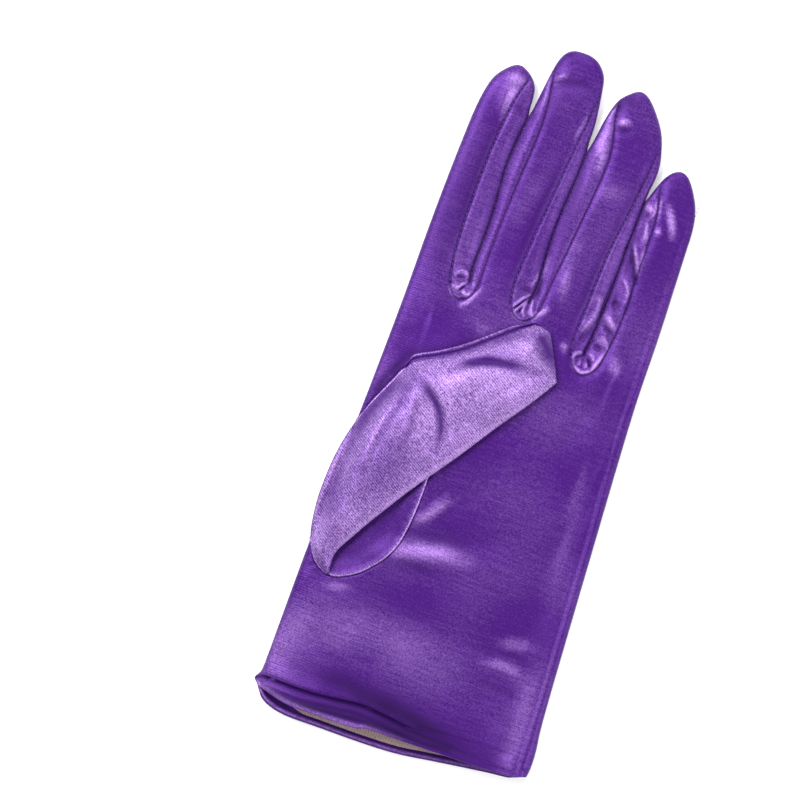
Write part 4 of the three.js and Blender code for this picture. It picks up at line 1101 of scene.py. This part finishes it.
# Painted shade of the sleeve.
thumbShade = [
    ([(-31, 112.4), (-26.2, 109), (-21.5, 105.2), (-18.8, 101.4), (-17.2, 96.3), (-17.7, 89.8)], 1.4, 0.95),
    ([(-21.2, 117.5), (-16.5, 121.2), (-10.5, 123.8), (-3.9, 125), (5.2, 125.7)], 1.8, 1.0),
    ([(0.2, 138.4), (4.0, 136.4), (7.4, 132.8), (10.6, 128.6)], 2.8, 0.95),
    ([(-33.0, 102), (-34.3, 95.4), (-35.2, 84.7)], 1.1, 0.45),
    ([(-29.4, 108), (-27, 98), (-28, 88)], 1.2, 0.3),
    ([(-42.4, 90), (-44.1, 75), (-43.6, 60)], 1.4, 0.4),
    ([(-30, 100), (-28, 86), (-33, 70)], 4.0, 0.2),
    ([(-34, 112), (-38.2, 104), (-41.8, 95), (-44, 84)], 2.4, 0.8),
    ([(-31.6, 110), (-32.6, 105), (-33, 99)], 1.8, 0.5),
    ([(-41, 68), (-40.8, 60), (-39, 52)], 2.6, 0.35),
    ([(-39.4, 86), (-38.8, 80), (-38.2, 74)], 2.0, 0.3),
    ([(-9, 131.2), (-4.4, 134.4), (-0.6, 137.4)], 1.8, 0.45),
    ([(-16, 122.4), (-7, 127.4), (2, 129)], 1.9, 0.42),
    ([(-31, 117.4), (-23.6, 121.4), (-16.4, 126), (-9, 132), (-2.6, 137.4)], 1.2, 0.5),
]
seamEdge, tipEdge, foldEdge = (evenly(smoothLine(line), pace["sleeve"])
                               for line in (sleeveSeam, sleeveTip, sleeveFold))
hang = holeLoop[(holeLoop[:, 0] < -35.2) & (holeLoop[:, 1] < 112.8)]
hang = hang[np.argsort(hang[:, 1])]
sleeveLoop = np.vstack([hang, seamEdge, tipEdge[1:], foldEdge[1:]])
sleeveTrack = Track(sleeveLoop, closed=True)
hangTrack = Track(hang)
flangeLine = np.vstack([seamEdge, tipEdge[1:4]])
flangeTrack = Track(flangeLine)


def sleeveParts(points):  # how far in from its edge, how much it hangs, and its edge's middle line
    edge = sleeveTrack.near(points, 14)[0]
    hanging = smoothStep(5, 0.5, hangTrack.near(points)[0])
    under = palmHeight(points) + sleeve["lift"]
    return edge, hanging, under + mix(sleeve["edge"], sleeve["hang"], hanging)


def sleeveTop(points):  # the outer face of the folded sleeve
    edge, _, middle = sleeveParts(points)
    rim = sleeve["edge"]
    crown = 1 - (1 - np.clip(edge / sleeve["run"], 0, 1)) ** sleeve["crown"]
    height = middle + edgeTurn(edge, rim) + (sleeve["height"] - 2 * rim) * crown
    slack = np.clip(edge / cloth["slackRun"], 0, 1)
    height += (foldHeight(thumbFolds, points) + strokes(thumbCreases, points)) * slack
    height += cockle(sleeve["unevenness"], points) * slack
    seam, along = flangeTrack.near(points)
    rise, size = sleeve["flangePucker"]
    height += rise * np.sin(along * 2 * math.pi / size) * bell(seam - 1.6, 1.4)
    return height


def sleeveUnder(points):
    edge, hanging, middle = sleeveParts(points)
    return middle - edgeTurn(edge, sleeve["edge"]) * mix(1, 0.1, hanging)


def collarHeight(points):  # what shows of the thumb in its hole, beside the sleeve
    seam = holeTrack.near(points)[0]
    dip = collar["dip"] * smoothStep(collar["from"], collar["to"], seam)
    return palmHeight(points) + collar["lift"] - dip + ridge(seam, collar["welt"])


def flangeParts():  # the seam's allowance, which sticks out beyond the sleeve's upper edge
    outward = leftOf(flangeLine)
    share = np.linspace(0, 1, len(flangeLine))
    reach = (smoothStep(0, 0.1, share) * smoothStep(1, 0.8, share))[:, None]
    rows = []
    for out, rise in flange:
        flat = flangeLine + outward * out * np.where(out > 0, reach, 1)
        rows.append(np.column_stack([flat, palmHeight(flat) + rise]))
    return strip(rows)


thumbLight = {  # painted highlight and painted shade of the thumb's parts, its lines in the same columns as the palm side's lines
    # Painted sheen of the sleeve, from its lower left to its upper right, with random variation.
    "low": 0.34,
    "high": 0.54,
    "unevenness": [(0.08, 24, 41)],
    # Faint painted sheen under the sleeve, painted highlight on the collar's welt and painted shade over the
    # rest of the collar.
    "under": 0.04,
    "collar": 1.1,
    "collarShade": 0.12,
    # The line of the collar's welt, and the flange's painted highlight along its edge and painted shade
    # inside it.
    "welt": (1, 0.45, 0.26),
    "flangeEdge": (0.3, 1.9, 0.5),
    "flangeShade": (0.6, 0.7, 0.6),
}


# Painted highlight and painted shade of the sleeve, its collar and its flange.
def paintedThumbLight(points):
    flat = points[:, :2]
    inSleeve = isInside(sleeveLoop, flat)
    inHole = isInside(holeLoop, flat)
    upper = inSleeve & (points[:, 2] > sleeveUnder(flat) + 0.5)
    inCollar = inHole & ~upper
    inFlange = ~inSleeve & ~inHole
    out = flangeTrack.near(flat)[0]
    welt = ridge(holeTrack.near(flat)[0], thumbLight["welt"])
    up = smoothStep(60, 116, flat[:, 1]) * smoothStep(-36, -20, flat[:, 0])
    # The sleeve's painted sheen rises towards its top and right, with random variation and the listed painted
    # highlights.
    full = mix(thumbLight["low"], thumbLight["high"], up) + cockle(thumbLight["unevenness"], flat)
    paintedHighlight = np.where(upper, full + strokes(thumbShine, flat), thumbLight["under"])
    # Painted highlight along the collar's welt and along the flange's outer edge.
    paintedHighlight = np.where(inCollar, thumbLight["collar"] * welt, paintedHighlight)
    paintedHighlight = np.where(inFlange, ridge(out, thumbLight["flangeEdge"]), paintedHighlight)
    # The listed painted shade on the sleeve, painted shade over the collar off its welt, and a painted shade
    # line beside the flange's edge.
    paintedShade = np.where(upper, strokes(thumbShade, flat), 0)
    paintedShade = np.where(inCollar, thumbLight["collarShade"] * (1 - welt), paintedShade)
    paintedShade = np.where(inFlange, ridge(out, thumbLight["flangeShade"]), paintedShade)
    return {"paintedHighlight": np.clip(paintedHighlight, 0, 1), "paintedShade": np.clip(paintedShade, 0, 1)}


def makeThumb():
    ring = closeUp(sleeveLoop)
    topPlan = planMesh([ring], 0.75, (0.3, 0.75), sleeveLoop)
    underPlan = planMesh([ring], 2.0, (0.5,), sleeveLoop)
    top = facesIn(topPlan[0], topPlan[1], sleeveLoop)
    under = facesIn(underPlan[0], underPlan[1], sleeveLoop)
    inHole = facesIn(fine[0], facesIn(fine[0], fine[1], holeLoop), gloveLoop)
    parts = [
        (lift(topPlan[0], sleeveTop), top),
        (lift(underPlan[0], sleeveUnder), under[:, ::-1]),
        (lift(fine[0], collarHeight), inHole),
        flangeParts(),
    ]
    piece = makePiece("thumbSleeve", parts, thumbSatin, cloth["thickness"], paintedThumbLight)
    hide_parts("thumb")
    return piece


thumb = makeThumb()
print("thumb made", len(thumb.data.polygons))

tape = {
    "from": -36,  # where it begins and ends along the hem
    "to": 37,
    "near": 1.6,  # how far in from the hem's edge it begins and ends
    "far": 8.5,
    "slant": 1.6,  # how much further in it begins at its left end
    "base": 1.08,  # height of its underside above the table
    "thick": 0.3,
    "unevenness": [(0.04, 9, 51)],
}


def makeTape():
    line = backHemLine[(backHemLine[:, 0] > tape["from"]) & (backHemLine[:, 0] < tape["to"])]
    inward = leftOf(line)
    near = tape["near"] + tape["slant"] * smoothStep(-28, -36, line[:, 0])
    rows = []
    for share in np.linspace(0, 1, 9):
        flat = line + inward * mix(near, tape["far"], share)[:, None]
        rise = tape["base"] + tape["thick"] + cockle(tape["unevenness"], flat)
        rows.append(np.column_stack([flat, rise]))
    points, faces = strip(rows)
    piece = makePiece("hemTape", [(points, faces)], tapeFinish, tape["thick"])
    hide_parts("hem_tape")
    return piece


hemTape = makeTape()
print("tape made")


# Stitches in millimetres, and how far each is turned across its seam in degrees.
stitching = {"pitch": 1.7, "long": 1.3, "thick": 0.2, "turn": 0.0}
sideStitching = dict(stitching, pitch=1.5, long=0.95)
hemStitching = {"pitch": 1.05, "long": 1.7, "thick": 0.36, "turn": 68.0}


def makeThread():
    paint = Paint("thread")
    grain = paint.noise(paint.place(), 2600, 2.0)
    shade = paint.blend(grain, colour(44, 16, 78), colour(96, 58, 146))
    paint.set(Base_Color=shade, Roughness=0.5, Normal=paint.bump(0.4, 0.05, grain))
    return paint.material


def makeStitchTree(material):  # sets a short rounded stitch along every line of a mesh
    made = Tree(bpy.data.node_groups.new("stitches", "GeometryNodeTree"))
    sockets = made.tree.interface
    sockets.new_socket("Geometry", in_out="OUTPUT", socket_type="NodeSocketGeometry")
    sockets.new_socket("Geometry", in_out="INPUT", socket_type="NodeSocketGeometry")
    for name in stitching:
        sockets.new_socket(name, in_out="INPUT", socket_type="NodeSocketFloat")
    lines = made.node("NodeGroupInput", out="Geometry")
    pitch, long, thick, turn = (made.other(lines, name) for name in stitching)
    curves = made.node("GeometryNodeMeshToCurve", inputs={"Mesh": lines})
    spots = made.node("GeometryNodeCurveToPoints", {"mode": "LENGTH"}, {"Curve": curves, "Length": pitch})
    sphere = made.node("GeometryNodeMeshUVSphere", inputs={"Segments": 6, "Rings": 5, "Radius": 0.5})
    body = made.node("GeometryNodeSetShadeSmooth", inputs={"Geometry": sphere})
    draw = made.node("FunctionNodeRandomValue", inputs={2: 0.85, 3: 1.1, "Seed": 12}, out=1)
    size = made.node("ShaderNodeCombineXYZ", inputs={"X": thick, "Y": thick, "Z": long * draw})
    swing = made.node("ShaderNodeCombineXYZ", inputs={"X": turn})
    facing = made.node("FunctionNodeRotateRotation", {"rotation_space": "LOCAL"},
                       {"Rotation": made.other(spots, "Rotation"), "Rotate By": swing})
    placed = made.node("GeometryNodeInstanceOnPoints", inputs={
        "Points": spots, "Instance": body, "Rotation": facing, "Scale": size})
    real = made.node("GeometryNodeRealizeInstances", inputs={"Geometry": placed})
    done = made.node("GeometryNodeSetMaterial", inputs={"Geometry": real, "Material": material})
    end = made.tree.nodes.new("NodeGroupOutput")
    made.feed(end.inputs["Geometry"], done)
    return made.tree


def makeStitches(name, lines, sizes, tree):
    points = np.vstack(lines)
    starts = np.cumsum([0] + [len(line) for line in lines])
    edges = [(start + i, start + i + 1) for start, line in zip(starts, lines) for i in range(len(line) - 1)]
    mesh = bpy.data.meshes.new(name)
    mesh.from_pydata(toRow(points).tolist(), edges, [])
    piece = addObject(name, mesh)
    sewn = piece.modifiers.new("sewn", "NODES")
    sewn.node_group = tree
    for item in tree.interface.items_tree:
        if item.name in sizes:
            value = sizes[item.name]
            sewn[item.identifier] = math.radians(value) if item.name == "turn" else value / 1000
    bakeModifiers(piece)
    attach(piece, "root")
    return piece


def onPalm(line, rise):  # lays a plan line on the palm side
    return lift(line, lambda flat: palmHeight(flat) + rise)


def onGlove(flat):  # the parts of a line that lie on the glove, clear of its edge
    clear = 0.8
    fewest = 8  # points of a part that is worth a stitch
    kept = isInside(gloveLoop, flat) & (edgeTrack.near(flat, 3)[0] > clear)
    ends = np.where(np.diff(kept.astype(int)) != 0)[0] + 1
    parts = zip(np.split(flat, ends), np.split(kept, ends))
    return [part for part, keep in parts if keep[0] and len(part) > fewest]


stitchTree = makeStitchTree(makeThread())
seams = [onPalm(part, 0.0) for web in webs for part in onGlove(seamLines[web])]
seamStitches = makeStitches("seamStitches", seams, stitching, stitchTree)
side = onPalm(outSeamLine[outSeamLine[:, 1] > 0], 0.03)
sideStitches = makeStitches("sideStitches", [side], sideStitching, stitchTree)
overEdge = backHemLine[8:-8] - (0, hem["backRoll"] * 0.8)
overEdge = np.column_stack([overEdge, np.full(len(overEdge), 1.35)])
hemStitches = makeStitches("hemStitches", [overEdge], hemStitching, stitchTree)
print("stitches sewn", len(seamStitches.data.polygons), len(sideStitches.data.polygons))


ground = {"colour": (0.74, 0.74, 0.75, 1), "glow": 0.3, "reach": 3.0}


def makeFloor():
    paint = Paint("floorPaint")
    paint.set(Base_Color=ground["colour"], Roughness=0.9, Specular_IOR_Level=0.2,
              Emission_Color=(1, 1, 1, 1), Emission_Strength=ground["glow"])
    mesh = bpy.data.meshes.new("floor")
    reach = ground["reach"]
    corners = [(-reach, -reach, 0), (reach, -reach, 0), (reach, reach, 0), (-reach, reach, 0)]
    mesh.from_pydata(corners, [], [(0, 1, 2, 3)])
    mesh.materials.append(paint.material)
    addObject("floor", mesh)


makeFloor()

# The camera looks straight down: the plan point at the picture's middle, its turn, the width
# of the plan that it sees in millimetres, and its lens.
view = {"x": -33.2, "y": 102.7, "lean": 19.5, "width": 261.2, "lens": 120.0, "sensor": 36.0, "above": 5}


def makeCamera():
    camera = bpy.data.cameras.new("camera")
    camera.lens = view["lens"]
    camera.sensor_width = view["sensor"]
    camera.clip_end = 20
    eye = addObject("camera", camera)
    away = view["width"] * view["lens"] / view["sensor"]
    eye.location = toRow([view["x"], view["y"], away + view["above"]])
    eye.rotation_euler = (0, 0, math.radians(view["lean"]))
    bpy.context.scene.camera = eye


makeCamera()

lights = [  # where each soft panel stands from the glove's middle, in metres, its size and watts
    {"name": "keyPanel", "at": (-0.75, 0.35, 0.75), "size": 0.55, "power": 17},
    {"name": "rightPanel", "at": (0.85, -0.15, 0.6), "size": 0.5, "power": 9},
    {"name": "frontPanel", "at": (0.25, -1.0, 0.75), "size": 0.5, "power": 1.5},
    {"name": "backPanel", "at": (-0.1, 1.1, 0.7), "size": 0.6, "power": 8},
]
skyStrength = 0.35


def makeLights():
    for item in lights:
        panel = bpy.data.lights.new(item["name"], "AREA")
        panel.shape = "SQUARE"
        panel.size = item["size"]
        panel.energy = item["power"]
        lamp = addObject(item["name"], panel)
        lamp.location = item["at"]
        lamp.rotation_euler = (-Vector(item["at"])).to_track_quat("-Z", "Y").to_euler()
    world = bpy.data.worlds.new("studio")
    world.use_nodes = True
    backdrop = world.node_tree.nodes["Background"]
    backdrop.inputs["Color"].default_value = (1, 1, 1, 1)
    backdrop.inputs["Strength"].default_value = skyStrength
    bpy.context.scene.world = world
    bpy.context.scene.view_settings.view_transform = "Standard"


makeLights()
print("stage set")
